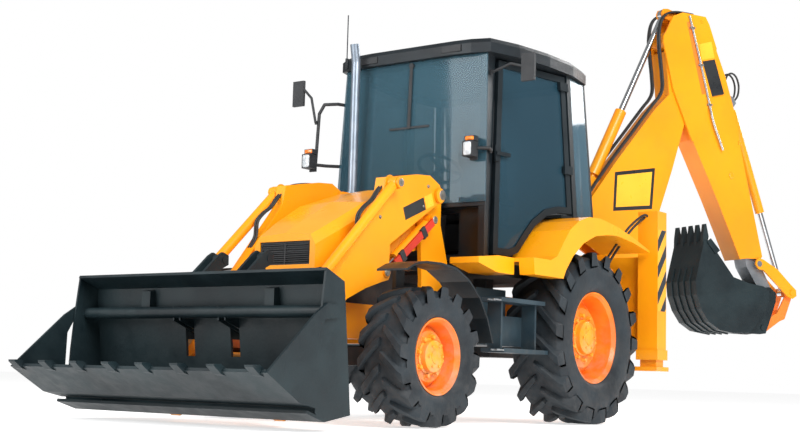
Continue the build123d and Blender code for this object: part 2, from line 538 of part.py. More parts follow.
# lower pin lugs outside the arm tips, upper lugs either side of the tilt rods' eyes
lug_low = [(3306, 330), (3282, 100), (3240, 52), (3190, 52), (3140, 90), (3140, 150), (3200, 220)]
for y0, y1 in ((ARM_Y1 + 6, ARM_Y1 + 30), (ARM_Y0 - 30, ARM_Y0 - 6)):
    scoop += both(plate(lug_low, y0, y1) - disc(BUCKET_PIN, 30 + RUN, 300, 700))
lug_high = [(3352, 780), (3338, 560), (3262, 640), (3215, 690), (3222, 735), (3270, 760)]
for y0, y1 in ((TILT_Y - 42, TILT_Y - 26), (TILT_Y + 26, TILT_Y + 42)):
    scoop += both(plate(lug_high, y0, y1))
scoop += both(disc(TILT_EYE, 30, TILT_Y + 42, TILT_Y + 52))
head = [(3376, 930), (3372, 860), (3150, 1060), (3070, 1100), (3072, 1165), (3130, 1185), (3170, 1160), (3390, 960)]
for y0, y1 in ((CLAM_Y - 58, CLAM_Y - 34), (CLAM_Y + 34, CLAM_Y + 58)):
    scoop += both(plate(head, y0, y1))
scoop += both(disc(CLAM_HEAD, 24, CLAM_Y - 62, CLAM_Y + 62))
# pockets in the back wall that the tilt rods' eyes dip into when the bucket is rolled right back
pocket = plate([(3348, 734), (3408, 740), (3438, 788), (3438, 898), (3366, 914)], TILT_Y - 41, TILT_Y + 41)
scoop += both(pocket)
scoop -= both(plate([(3300, 742), (3404, 748), (3430, 792), (3430, 890), (3300, 904)], TILT_Y - 33, TILT_Y + 33))
for y0, y1 in ((TILT_Y - 42, TILT_Y - 33), (TILT_Y + 33, TILT_Y + 42)):
    scoop += both(plate(lug_high, y0, y1))
scoop -= both(box(3290, 3420, CLAM_Y - 41, CLAM_Y + 41, 455, 792))
shield = plate([(3136, 570), (3144, 570), (3144, 822), (3136, 822)], CLAM_Y - 58, CLAM_Y + 58)
for y in (CLAM_Y - 58, CLAM_Y + 50):
    shield += plate([(3136, 570), (3334, 570), (3361, 822), (3136, 822)], y, y + 8)
scoop += both(shield)
parts["loader_bucket"] = scoop

clam = disc(CLAM_PIVOT, 40, -1155, 1155)
ear = [(3430, 745), (3450, 785), (3560, 790), (3660, 727), (3935, 490), (4090, 355), (3800, 185), (3640, 150),
       (3632, 600), (3580, 690), (3450, 705)]
clam += both(plate(ear, 1156, BUCKET_HALF) + disc(CLAM_PIVOT, 40, 1150, 1160))
clam += plate(strip([(3640, 150), (3800, 185), (4090, 355)], 22), -1157, 1157)
clam += plate([(3640, 150), (3662, 152), (3662, 230), (3645, 230)], -1157, 1157)
for k in range(8):
    y = -1085 + 310 * k
    clam += plate([(4000, 318), (4000, 345), (4090, 400), (4152, 398), (4150, 385), (4088, 340)], y - 34, y + 34)
arm_c = [(3490, 690), (3500, 780), (3440, 790), (3250, 690), (3200, 660), (3195, 625), (3225, 600), (3270, 610)]
for y0, y1 in ((CLAM_Y - 36, CLAM_Y - 24), (CLAM_Y + 24, CLAM_Y + 36)):
    clam += both(plate(arm_c, y0, y1))
parts["bucket_clam"] = clam
clam_barrel, clam_rod = ram(CLAM_HEAD, CLAM_EYE, CLAM_Y, 32, 19, 330, 98, 42, 18, 28, 24)
parts["clam_barrels"] = pair(clam_barrel)
parts["clam_rods"] = pair(clam_rod)

# ---------------------------------------------------------------- rear frame, stabilisers and carriage
rear = box(-1130, -1060, -POST_Y0 - 6, POST_Y0 + 6, 640, 740) + box(-1130, -1060, -POST_Y0 - 6, POST_Y0 + 6, 1380, 1480)
rear += both(plate([(-1060, 640), (-1060, 1480), (-1000, 1440), (-930, 1060), (-930, 850), (-1000, 650)],
                   RAIL_OUT, RAIL_OUT + 40))
rear += both(box(-1080, -1060, 690, POST_Y0, 730, 1390))
posts = box(POST_X0, POST_X1, POST_Y0, POST_Y1, POST_Z0, POST_Z1)
posts -= box(POST_X0 + 12, POST_X1 - 12, POST_Y0 + 12, POST_Y1 - 12, POST_Z0 - 1, POST_Z1 + 1)
posts += box(POST_X0 - 10, POST_X1 + 10, POST_Y0 - 10, POST_Y1 + 10, POST_Z0, POST_Z0 + 90) - box(
    POST_X0 + 12, POST_X1 - 12, POST_Y0 + 12, POST_Y1 - 12, POST_Z0 - 1, POST_Z0 + 91)
rear += both(posts)
parts["rear_frame"] = rear
leg = box(POST_X0 + 18, POST_X1 - 18, POST_Y0 + 18, POST_Y1 - 18, 500, 1740)
leg += box(POST_X0 - 30, POST_X1 + 30, POST_Y0 - 25, POST_Y1 + 12, 462, 500)
parts["stabiliser_left"] = leg
parts["stabiliser_right"] = mirror(leg, about=Plane.XZ)

carriage = box(-1175, -1135.5, SIDE_SHIFT - 300, SIDE_SHIFT + 300, 600, 1520)
carriage += box(-1135.5, -1110, SIDE_SHIFT - 300, SIDE_SHIFT + 300, 1486, 1520)
carriage += box(-1135.5, -1110, SIDE_SHIFT - 300, SIDE_SHIFT + 300, 600, 634)
for z0, z1 in ((1380, 1460), (640, 720)):
    carriage += box(SLEW_X, -1175, SIDE_SHIFT - 85, SIDE_SHIFT + 85, z0, z1)
    carriage += Pos(SLEW_X, SIDE_SHIFT, (z0 + z1) / 2) * Cylinder(85, z1 - z0)
carriage -= Pos(SLEW_X, SIDE_SHIFT, 1000) * Cylinder(45 + RUN, 2000)
parts["carriage"] = carriage


def place(shape):
    """From the digging plane (s rearwards, z up, Y to its right) to the machine's frame."""
    return Pos(SLEW_X, SIDE_SHIFT, 0) * (Rot(0, 0, 180 - SLEW_ANGLE) * shape)


king = Pos(0, 0, 1050) * Cylinder(45, 860) + Pos(0, 0, 1050) * Cylinder(80, 650)
king += plate([(0, 730), (0, 1373), (85, 1373), (240, 1240), (280, 1150), (240, 1070), (80, 740)], -90, 90)
king -= box(95, 400, -64, 64, 700, 1500)
king += plate([(-60, 1466), (-20, 1540), (130, 1560), (205, 1545), (236, 1490), (225, 1440), (170, 1425), (110, 1466)],
              -90, 90)
king -= box(106, 400, -60, 60, 1400, 1700)
king += disc(BOOM_RAM_BASE, 30, -90, 90)
king -= disc(BOOM_FOOT, 38 + RUN, -400, 400)
parts["kingpost"] = place(king)

BP = BOOM_HALF
boom_line = [(260, 1080), (200, 1065), (140, 1090), (115, 1150), (108, 1300), (104, 1475), (-110, 1600),
             (-200, 1760), (-215, 1880), (-168, 2026), (141, 2443), (597, 3010), (760, 3170), (740, 3400),
             (705, 3660), (710, 3790), (780, 3830), (860, 3800), (895, 3680), (905, 3200), (943, 2896), (799, 2429), (645, 1993),
             (520, 1600), (330, 1180)]
plates = plate(boom_line, BP - BOOM_PLATE, BP)
plates -= disc(DIPPER_PIVOT, 40 + RUN, -400, 400)
plates = both(plates)
cover = strip([(-168, 2026), (141, 2443), (597, 3010), (760, 3170), (740, 3400), (712, 3600)][::-1], 16)
boom = plates + plate(cover, -BP + 5, BP - 5)
rear_cover = strip([(690, 2110), (799, 2429), (943, 2896), (905, 3200), (897, 3600)], 16)
boom += plate(rear_cover, -BP + 5, BP - 5)
boom += disc(BOOM_FOOT, 38, -BP, -66) + disc(BOOM_FOOT, 38, 66, BP)
boom += disc(BOOM_RAM_EYE, 36, -BP, -44) + disc(BOOM_RAM_EYE, 36, 44, BP)
boom += disc(DIPPER_PIVOT, 90, -BP + 5, BP - 5) - disc(DIPPER_PIVOT, 40 + RUN, -400, 400)
for y0 in (-52, 32):
    boom += plate([(-150, 2045), (-136, 2235), (-112, 2282), (-75, 2297), (-38, 2282), (-22, 2245), (10, 2262)],
                  y0, y0 + 20)
boom += disc(DIPPER_RAM_BASE, 24, -52, 52)
parts["boom"] = place(boom)
boom_barrel, boom_rod = ram(BOOM_RAM_BASE, BOOM_RAM_EYE, 0, 56, 32, 680, 120, 52, 38, 54, 30)
parts["boom_ram_barrel"] = place(boom_barrel)
parts["boom_ram_rod"] = place(boom_rod)

DIP_IN, DIP_OUT = 120.0, 140.0
cheek = [(675, 3745), (720, 3820), (790, 3960), (900, 4010), (1183, 4004), (1230, 3930), (1320, 3700), (1300, 3300),
         (1130, 2900), (1050, 2730), (1021, 2729), (791, 3225), (690, 3616), (672, 3680)]
cheeks = both(plate(cheek, DIP_IN, DIP_OUT))
beam_line = [(1000, 3990), (1183, 4004), (1230, 3930), (1286, 3792), (1440, 3440), (1590, 2990), (1640, 2700),
             (1903, 1648), (1885, 1622), (1700, 1616), (1625, 1602), (1350, 2157), (1035, 2750), (1000, 2900), (1000, 3200)]
beam = plate(beam_line, -DIP_IN, DIP_IN)
SLIDE_FROM = (1905.0, 1640.0)
SLIDE_WAY = (0.242, -0.9703)


def on_slide(t, w):
    """Point t down the dipper's slide from its mouth, w rearwards of its rear face."""
    return (SLIDE_FROM[0] + SLIDE_WAY[0] * t - SLIDE_WAY[1] * w, SLIDE_FROM[1] + SLIDE_WAY[1] * t + SLIDE_WAY[0] * w)


EXT_TRAVEL = 1100.0
channel = [on_slide(-1800, -192), on_slide(300, -192), on_slide(300, 80), on_slide(-1800, 80)]
dipper = beam - plate(channel, -92, 92) + cheeks
dipper += disc(DIPPER_PIVOT, 40, DIP_OUT, BP) + disc(DIPPER_PIVOT, 40, -DIP_OUT, -BP)
dipper += disc(DIPPER_PIVOT, 40, -BP, BP)
for y0 in (-52, 32):
    dipper += plate([(716, 4000), (735, 4045), (790, 4052), (1010, 3990), (1010, 3890), (880, 3905), (780, 3945),
                     (730, 3960)], y0, y0 + 20)
dipper += box(900, 1010, -DIP_IN, DIP_IN, 3900, 3990)
dipper += disc(DIPPER_RAM_EYE, 30, -64, -52) + disc(DIPPER_RAM_EYE, 30, 52, 64)
parts["dipper"] = place(dipper)
dip_barrel, dip_rod = ram(DIPPER_RAM_BASE, DIPPER_RAM_EYE, 0, 56, 29, 800, 600, 50, 26, 27, 24)
parts["dipper_ram_barrel"] = place(dip_barrel)
parts["dipper_ram_rod"] = place(dip_rod)

inner = [on_slide(-1720, -190), on_slide(60, -190), on_slide(140, -160), on_slide(340, -85), on_slide(410, -80),
         on_slide(470, -40), on_slide(470, 20), on_slide(410, 60), on_slide(340, 60), on_slide(100, -5),
         on_slide(-1720, -5)]
extension = plate(inner, -85, 85)
extension -= plate([on_slide(-1640, -150), on_slide(-60, -150), on_slide(-60, -40), on_slide(-1640, -40)], -70, 70)
for y0 in (-52, 32):
    extension += plate([on_slide(-1700, -8), on_slide(-1630, 100), on_slide(-1570, 112), on_slide(-1532, 60), on_slide(-1532, -8)],
                       y0, y0 + 20)
extension += disc(CROWD_BASE, 24, -58, 58)
extension += disc(LEVER_PIN, 30, -146, 146)
extension -= disc(BUCKET_HINGE, 34 + RUN, -200, 200)
parts["dipper_extension"] = place(extension)

lever_line = [(1800, 1560), (1815, 1610), (1850, 1625), (1900, 1615), (2080, 1525), (2250, 1380), (2315, 1330),
              (2320, 1270), (2270, 1240), (2210, 1260), (2060, 1380), (1900, 1510), (1840, 1515)]
lever = both(plate(lever_line, 126, 144)) - disc(LEVER_PIN, 30 + RUN, -200, 200)
lever += both(disc(LINK_PIN, 28, 94, 152))
parts["tipping_lever"] = place(group(lever))
link_line = [(2225, 1260), (2215, 1320), (2260, 1350), (2305, 1330), (2312, 1270), (2215, 1035), (2150, 1010),
             (1960, 890), (1905, 885), (1868, 925), (1885, 975), (2120, 1090)]
tip_link = both(plate(link_line, 66, 86)) - disc(BUCKET_LINK_PIN, 28 + RUN, -200, 200)
tip_link += plate([(2180, 1020), (2215, 1035), (2250, 1120), (2215, 1130)], -66, 66)
parts["tipping_link"] = place(tip_link)
crowd_barrel, crowd_rod = ram(CROWD_BASE, LINK_PIN, 0, 45, 26, 1150, 840, 46, 30, 27, 24)
parts["crowd_ram_barrel"] = place(crowd_barrel)
parts["crowd_ram_rod"] = place(crowd_rod)

shell = [(1092, 1745), (1025, 1486), (990, 1350), (1005, 1217), (1060, 1080), (1150, 960), (1282, 885), (1450, 862),
         (1648, 871), (1850, 1080), (1890, 1200)]
D = DIG_HALF
digger = plate(strip(shell, 14), -D, D)
side = shell + [(1895, 1290), (1823, 1338), (1640, 1360), (1451, 1409), (1254, 1634), (1150, 1740)]
digger += both(plate(side, D - 14, D))
lugs = [(1880, 1330), (2010, 1345), (2085, 1290), (2080, 1200), (1985, 960), (1950, 880), (1880, 870), (1650, 872),
        (1790, 1070), (1850, 1180)]
digger += both(plate(lugs, 90, 112))
digger += disc(BUCKET_HINGE, 34, -124, 124)
digger += disc(BUCKET_LINK_PIN, 28, -120, 120)
for k in range(5):
    y = (k - 2) * (D - 24) / 2
    digger += plate([(1080, 1700), (1082, 1790), (1098, 1908), (1120, 1912), (1150, 1790), (1130, 1700)],
                    y - 20, y + 20)
for k in range(4):
    y = (k - 1.5) * (D * 2 / 5)
    digger += plate(strip(shell[1:8], -12), y - 9, y + 9)
digger += both(plate([(1120, 1735), (1165, 1770), (1275, 1660), (1225, 1620)], D, D + 12))
parts["digger_bucket"] = place(digger)

# ---------------------------------------------------------------- lamps, mirrors, wiper
lamps = None
for y0, y1, x in ((600, 690, 1205), (-965, -875, 1310)):
    lamp = box(x, x + 90, y0, y1, 2080, 2200) + box(x, x + 60, y0, y1, 2205, 2245)
    lamp += box(x - 15, x, y0 + 10, y1 - 10, 2060, 2245)
    lamps = [lamp] if lamps is None else lamps + [lamp]
left_bar = chain([(1075, 727, 2150), (1178, 770, 2150), (1218, 682, 2150)], 13)
left_bar += box(1060, 1090, 713.5, 727, 2130, 2170)
right_bar = chain([(1075, -727, 2120), (1200, -860, 2120), (1290, -905, 2120), (1280, -890, 2560), (1262, -850, 2640),
                   (1185, -768, 2650), (1100, -735, 2650)], 14)
right_bar += box(1060, 1090, -727, -713.5, 2100, 2140) + box(1085, 1115, -735, -714.5, 2630, 2670)
head_lamps = group(lamps[0] + left_bar, lamps[1] + right_bar)
work = []
for y in (420, -420):
    work.append(box(1181, 1221, y - 90, y + 90, 2952, 3003))
for y in (500, -500):
    work.append(box(-450, -411, y - 80, y + 80, 2945, 3005))
parts["lamps"] = group(head_lamps, *work)
left_mirror = chain([(1075, 722, 2780), (1080, 900, 2830), (1052, 1000, 2800)], 11)
left_mirror += box(1040, 1065, 985, 1105, 2680, 2900) + box(1060, 1090, 706.5, 722, 2760, 2800)
right_mirror = chain([(1314, -900, 2480), (1308, -960, 2700), (1312, -1050, 2790)], 11)
right_mirror += box(1300, 1325, -1160, -1040, 2640, 2860) + box(1300, 1314, -910, -890, 2465, 2495)
wiper = bar((1167.5, 0, 2895), (1184, 0, 2895), 22)
wiper += plate([(1174, 2900), (1182, 2900), (1200, 2368), (1192, 2368)], -14, 14) + box(1186, 1193, -200, 200, 2368, 2384)
parts["mirrors_and_wiper"] = group(left_mirror, right_mirror, wiper)

# ---------------------------------------------------------------- shared origin and files
boxes = [p.bounding_box() for p in parts.values()]
low = [min(tuple(b.min)[i] for b in boxes) for i in range(3)]
high = [max(tuple(b.max)[i] for b in boxes) for i in range(3)]
SHIFT = (-(low[0] + high[0]) / 2, -(low[1] + high[1]) / 2, -low[2])
SIZE = [high[i] - low[i] for i in range(3)]


# ---------------------------------------------------------------- spaces kept open, and collision budgets
OPENINGS = [
    ("cabin_head_room", "the operator's head and shoulders", (-300, 1000, -590, 590, 2370, 2860)),
    ("cabin_leg_room", "the operator's legs", (520, 800, -300, 600, FLOOR_Z1 + 10, 1900)),
    ("loader_bucket_mouth", "loose material", (3400, 3830, -1100, 1100, 300, 570)),
    ("between_loader_arms", "air in front of the nose", (2700, 2960, -420, 420, 420, 1000)),
    ("rear_frame_window", "sight of the work", (-1250, -1045, -660, -330, 770, 1350)),
]
DIG_SPACE = (1400.0, 1150.0, 120.0, 150.0)
PIECES = {"cab_frame": 54, "console_and_wheel": 24, "seat": 12, "main_frame": 8, "fenders_and_sills": 12, "rear_frame": 12, "loader_bucket": 20,
          "bucket_clam": 20, "loader_arms": 8, "digger_bucket": 16, "boom": 8, "dipper": 10, "door_left": 8,
          "door_right": 8, "bonnet": 8, "carriage": 5, "kingpost": 5, "knuckle_left": 6, "knuckle_right": 6,
          "front_tyre_left": 1, "front_tyre_right": 1, "rear_tyre_left": 1, "rear_tyre_right": 1, "cab_roof": 1,
          "front_rim_left": 1, "front_rim_right": 1, "rear_rim_left": 1, "rear_rim_right": 1,
          "tipping_lever": 4, "tipping_link": 4, "loader_towers": 4, "tanks_and_steps": 6, "front_axle": 3,
          "rear_axle": 3, "stabiliser_left": 2, "stabiliser_right": 2, "dipper_extension": 8, "grille": 1,
          "lift_barrels": 2, "lift_rods": 2, "tilt_barrels": 2, "tilt_rods": 2, "clam_barrels": 2, "clam_rods": 2,
          "boom_ram_barrel": 1, "boom_ram_rod": 1, "dipper_ram_barrel": 1, "dipper_ram_rod": 1,
          "crowd_ram_barrel": 1, "crowd_ram_rod": 1}
NO_COLLISION = ["mirrors_and_wiper"]
PRESS_FITS = []


def write_parts():
    os.makedirs("parts", exist_ok=True)
    for name, shape in parts.items():
        moved = Pos(*SHIFT) * shape
        solids = moved.solids()
        if len(solids) == 1:
            moved = solids[0]
        else:
            moved = Compound(children=list(solids))
        moved.label = name
        export_step(moved, "parts/" + name + ".step")


write_parts()
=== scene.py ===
import math
import bmesh
import bpy
import numpy as np
from mathutils import Matrix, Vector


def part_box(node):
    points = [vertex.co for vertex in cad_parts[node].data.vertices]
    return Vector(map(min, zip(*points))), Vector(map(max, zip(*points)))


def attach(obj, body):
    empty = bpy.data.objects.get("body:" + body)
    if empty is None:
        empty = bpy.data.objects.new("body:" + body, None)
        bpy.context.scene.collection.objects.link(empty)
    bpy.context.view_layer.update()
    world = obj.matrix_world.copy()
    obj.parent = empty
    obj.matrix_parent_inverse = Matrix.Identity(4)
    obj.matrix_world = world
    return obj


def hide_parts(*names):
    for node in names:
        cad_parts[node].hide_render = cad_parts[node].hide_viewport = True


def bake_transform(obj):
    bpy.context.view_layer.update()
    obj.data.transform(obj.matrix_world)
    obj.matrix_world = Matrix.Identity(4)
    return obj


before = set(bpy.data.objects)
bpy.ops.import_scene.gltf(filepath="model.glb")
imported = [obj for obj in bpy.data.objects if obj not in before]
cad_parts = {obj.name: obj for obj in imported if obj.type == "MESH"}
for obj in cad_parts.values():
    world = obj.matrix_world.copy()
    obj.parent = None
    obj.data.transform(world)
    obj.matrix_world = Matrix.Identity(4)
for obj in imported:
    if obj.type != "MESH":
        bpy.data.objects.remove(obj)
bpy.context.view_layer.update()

# Where things stand. All sizes below are in metres from the ground under the middle of the rear axle,
# X forwards, Y to the machine's left, Z up. The digger has its own flat frame, turned about its slew pin.
REAR_RADIUS = 0.715
left_wheel, right_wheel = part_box("rear_tyre_left"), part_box("rear_tyre_right")
AXLE = np.array([(left_wheel[0].x + left_wheel[1].x) / 2, (left_wheel[1].y + right_wheel[0].y) / 2,
                 (left_wheel[0].z + left_wheel[1].z) / 2 - REAR_RADIUS])
SLEW_PIN, SLEW = np.array([-1.405, 0.324, 0.0]), math.radians(28)


def on_machine(points):
    """Points measured from the rear axle, put in the shared frame."""
    return np.asarray(points, float) + AXLE


def on_digger(points):
    """Points (s rearwards, n to the left, z up) in the digger's own plane, put in the shared frame."""
    p = np.asarray(points, float)
    back = np.array([-math.cos(SLEW), math.sin(SLEW), 0.0])
    left = np.array([math.sin(SLEW), math.cos(SLEW), 0.0])
    return SLEW_PIN + AXLE + p[..., :1] * back + p[..., 1:2] * left + p[..., 2:] * np.array([0.0, 0.0, 1.0])


# Studio. A pale floor, three large soft lamps and a pale world, and one camera low in front of the left
# front wheel that looks slightly up at the machine.
scene = bpy.context.scene
scene.view_settings.view_transform = "Standard"
eye = bpy.data.cameras.new("eye")
eye.sensor_width, eye.lens, eye.clip_end = 36.0, 60.43, 200.0
camera = bpy.data.objects.new("eye", eye)
scene.collection.objects.link(camera)
yaw, pitch, roll = math.radians(216.80), math.radians(6.643), math.radians(1.565)
look = np.array([math.cos(yaw) * math.cos(pitch), math.sin(yaw) * math.cos(pitch), math.sin(pitch)])
side = np.cross(look, [0, 0, 1.0])
side /= np.linalg.norm(side)
rise = np.cross(side, look)
side, rise = math.cos(roll) * side + math.sin(roll) * rise, -math.sin(roll) * side + math.cos(roll) * rise
place = np.eye(4)
place[:3, 0], place[:3, 1], place[:3, 2] = side, rise, -look
place[:3, 3] = on_machine([9.887, 6.439, 0.355])
camera.matrix_world = Matrix(place.tolist())
scene.camera = camera


def soft_lamp(name, place, aim, size, watts):
    """A square area lamp at place, turned to face aim."""
    data = bpy.data.lights.new(name, "AREA")
    data.size, data.energy = size, watts
    lamp = bpy.data.objects.new(name, data)
    scene.collection.objects.link(lamp)
    back = np.array(place, float) - np.array(aim, float)
    back /= np.linalg.norm(back)
    across = np.cross([0, 0, 1.0], back)
    across /= np.linalg.norm(across)
    turn = np.eye(4)
    turn[:3, 0], turn[:3, 1], turn[:3, 2], turn[:3, 3] = across, np.cross(back, across), back, place
    lamp.matrix_world = Matrix(turn.tolist())


soft_lamp("key_lamp", on_machine([5.5, 9.0, 7.5]), on_machine([0.3, 0.3, 1.2]), 6.0, 1500)
soft_lamp("front_lamp", on_machine([11.0, -3.0, 5.0]), on_machine([1.5, 0, 1.2]), 6.0, 700)
soft_lamp("back_lamp", on_machine([-9.0, 2.0, 7.0]), on_machine([-1.0, 0, 1.5]), 5.0, 700)

world = bpy.data.worlds.new("studio")
scene.world = world
world.use_nodes = True
sky, sky_out = world.node_tree.nodes["Background"], world.node_tree.nodes["World Output"]
sky.inputs["Color"].default_value = (1.0, 1.0, 1.0, 1)
sky.inputs["Strength"].default_value = 0.34
seen = world.node_tree.nodes.new("ShaderNodeBackground")
seen.inputs["Color"].default_value = (1.0, 1.0, 1.0, 1)
pick = world.node_tree.nodes.new("ShaderNodeMixShader")
rays = world.node_tree.nodes.new("ShaderNodeLightPath")
either = world.node_tree.nodes.new("ShaderNodeMath")
either.operation = "MAXIMUM"
for start, end in ((rays.outputs["Is Camera Ray"], either.inputs[0]),
                   (rays.outputs["Is Transmission Ray"], either.inputs[1]),
                   (either.outputs[0], pick.inputs[0]), (sky.outputs[0], pick.inputs[1]),
                   (seen.outputs[0], pick.inputs[2]), (pick.outputs[0], sky_out.inputs["Surface"])):
    world.node_tree.links.new(start, end)

FLOOR_REACH, FLOOR_Z = 60, -0.004
floor_mesh = bpy.data.meshes.new("floor")
corners = [(x * FLOOR_REACH, y * FLOOR_REACH, FLOOR_Z) for x, y in ((-1, -1), (1, -1), (1, 1), (-1, 1))]
floor_mesh.from_pydata(corners, [], [(0, 1, 2, 3)])
floor = bpy.data.objects.new("floor", floor_mesh)
scene.collection.objects.link(floor)
floor_paint = bpy.data.materials.new("floor")
floor_paint.use_nodes = True
for socket, value in (("Base Color", (0.93, 0.93, 0.93, 1)), ("Roughness", 0.9),
                      ("Emission Color", (1, 1, 1, 1)), ("Emission Strength", 0.62)):
    floor_paint.node_tree.nodes["Principled BSDF"].inputs[socket].default_value = value
floor_mesh.materials.append(floor_paint)

# Chassis. Rolled rails, cast axles and welded towers, sprayed in the machine's golden yellow over primer
# and left a little dusty low down. The paint is a thick gloss with slight orange peel.


def finish(name, colour, rough, metal=0.0, coat=0.0, second=None, scale=3.0, dust=None, dust_top=0.9,
           peel=0.0, peel_scale=60.0, edges=None, gloss=0.5):
    """A surface of one paint or metal. second: a colour mixed in by soft noise of the given scale; dust: a
    colour that gathers below dust_top; peel: strength of fine bumps; edges: a colour of small scratches."""
    m = bpy.data.materials.new(name)
    m.use_nodes = True
    t = m.node_tree
    s = t.nodes["Principled BSDF"]
    s.inputs["Metallic"].default_value = metal
    s.inputs["Coat Weight"].default_value = coat
    s.inputs["Specular IOR Level"].default_value = gloss
    s.inputs["Coat Roughness"].default_value = 0.12
    place = t.nodes.new("ShaderNodeTexCoord")

    def noise(size, detail, rough_noise=0.55):
        n = t.nodes.new("ShaderNodeTexNoise")
        n.inputs["Scale"].default_value, n.inputs["Detail"].default_value = size, detail
        n.inputs["Roughness"].default_value = rough_noise
        t.links.new(place.outputs["Object"], n.inputs["Vector"])
        return n.outputs["Fac"]

    def ramp(value, low, high):
        r = t.nodes.new("ShaderNodeMapRange")
        r.interpolation_type = "SMOOTHSTEP"
        r.inputs["From Min"].default_value, r.inputs["From Max"].default_value = low, high
        t.links.new(value, r.inputs["Value"])
        return r.outputs["Result"]

    def mix(amount, low, high):
        x = t.nodes.new("ShaderNodeMix")
        x.data_type = "RGBA"
        t.links.new(amount, x.inputs["Factor"])
        for socket, value in ((x.inputs["A"], low), (x.inputs["B"], high)):
            if isinstance(value, tuple):
                socket.default_value = (*value, 1)
            else:
                t.links.new(value, socket)
        return x.outputs["Result"]

    def times(a, b):
        x = t.nodes.new("ShaderNodeMath")
        x.operation = "MULTIPLY"
        for i, value in enumerate((a, b)):
            if isinstance(value, float):
                x.inputs[i].default_value = value
            else:
                t.links.new(value, x.inputs[i])
        return x.outputs[0]

    wide = noise(scale, 4.0)
    colour_out = mix(ramp(wide, 0.35, 0.68), colour, second or tuple(c * 0.86 for c in colour))
    if edges:
        chips = ramp(noise(38.0, 8.0, 0.7), 0.66, 0.72)
        colour_out = mix(times(chips, 0.8), colour_out, edges)
    rough_amount = ramp(noise(scale * 4, 3.0), 0.2, 0.8)
    if dust:
        apart = t.nodes.new("ShaderNodeSeparateXYZ")
        t.links.new(place.outputs["Object"], apart.inputs[0])
        low = ramp(apart.outputs["Z"], dust_top, dust_top * 0.15)
        film = times(times(low, ramp(noise(9.0, 6.0, 0.65), 0.35, 0.75)), 0.65)
        colour_out = mix(film, colour_out, dust)
    t.links.new(colour_out, s.inputs["Base Color"])
    r = t.nodes.new("ShaderNodeMapRange")
    r.inputs["To Min"].default_value, r.inputs["To Max"].default_value = rough * 0.85, min(1.0, rough * 1.2)
    t.links.new(rough_amount, r.inputs["Value"])
    t.links.new(r.outputs["Result"], s.inputs["Roughness"])
    if peel:
        b = t.nodes.new("ShaderNodeBump")
        b.inputs["Strength"].default_value, b.inputs["Distance"].default_value = peel, 0.004
        t.links.new(noise(peel_scale, 3.0), b.inputs["Height"])
        t.links.new(b.outputs["Normal"], s.inputs["Normal"])
    return m


def dress(material, *nodes):
    """Gives the finish to whole nodes of the frame."""
    for name in nodes:
        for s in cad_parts[name].material_slots:
            s.material = material


DUST = (0.36, 0.30, 0.22)
yellow = finish("golden_paint", (0.92, 0.335, 0.004), 0.36, coat=0.15, gloss=0.4, second=(0.90, 0.28, 0.003),
                scale=1.3, dust=DUST, dust_top=0.75, peel=0.08, peel_scale=120)
black = finish("black_paint", (0.005, 0.009, 0.012), 0.42, coat=0.05, second=(0.009, 0.015, 0.019), scale=2.0,
               dust=(0.05, 0.048, 0.042), dust_top=0.8, peel=0.10, peel_scale=90, gloss=0.35)
cast = finish("cast_iron", (0.035, 0.036, 0.038), 0.62, metal=0.4, second=(0.06, 0.055, 0.05), scale=8,
              peel=0.5, peel_scale=45)
dress(yellow, "main_frame", "loader_towers", "rear_frame", "carriage", "kingpost")
dress(black, "front_axle", "rear_axle")
dress(cast, "engine_block")


def numbers(grid, start):
    """The numbers of a grid's points, counted on from start, in rows and columns."""
    return start + np.arange(grid[..., 0].size).reshape(grid.shape[:2])


def closed(index):
    """The same rows with the first column once more at their end, so that the faces close round."""
    return np.hstack([index, index[:, :1]])


def net(index):
    """The four-sided faces between neighbouring point numbers."""
    corners = [index[:-1, :-1], index[:-1, 1:], index[1:, 1:], index[1:, :-1]]
    return np.stack(corners, -1).reshape(-1, 4).tolist()


def piece_of(name, points, faces, material, crease=None, mend=None):
    """An object with all its faces turned outwards, smooth except across edges sharper than crease. mend, where
    given, changes the mesh first."""
    mesh = bpy.data.meshes.new(name)
    mesh.from_pydata(np.vstack(points).tolist(), [], faces)
    work = bmesh.new()
    work.from_mesh(mesh)
    if mend:
        mend(work)
    bmesh.ops.recalc_face_normals(work, faces=work.faces)
    work.to_mesh(mesh)
    work.free()
    mesh.shade_smooth()
    if crease:
        mesh.set_sharp_from_angle(angle=math.radians(crease))
    mesh.materials.append(material)
    piece = bpy.data.objects.new(name, mesh)
    scene.collection.objects.link(piece)
    return piece


def skin(name, grids, body, material):
    """One piece from grids of points (rows, columns, xyz): neighbouring points make quads, the last column joins
    the first, and a flat face closes the first and the last row."""
    points, faces, start = [], [], 0
    for grid in grids:
        index = numbers(grid, start)
        faces += net(closed(index)) + [index[0, ::-1].tolist(), index[-1].tolist()]
        points.append(grid.reshape(-1, 3))
        start += index.size
    piece = piece_of(name, points, faces, material, crease=35.0)
    if body:
        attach(piece, body)
    return piece


def turned(profile, centre, axis, around):
    """Grid of a turned piece: each (radius, distance along the axis) of the profile is carried round the axis.
    Six around gives a bolt's hexagon."""
    profile, axis = np.asarray(profile, float), np.asarray(axis, float) / np.linalg.norm(axis)
    first = np.cross(axis, [0.3, 0.2, 1.0])
    first /= np.linalg.norm(first)
    second = np.cross(axis, first)
    t = np.arange(around) * 2 * math.pi / around
    ring = np.cos(t)[:, None] * first + np.sin(t)[:, None] * second
    return np.asarray(centre, float) + profile[:, None, :1] * ring + profile[:, None, 1:] * axis


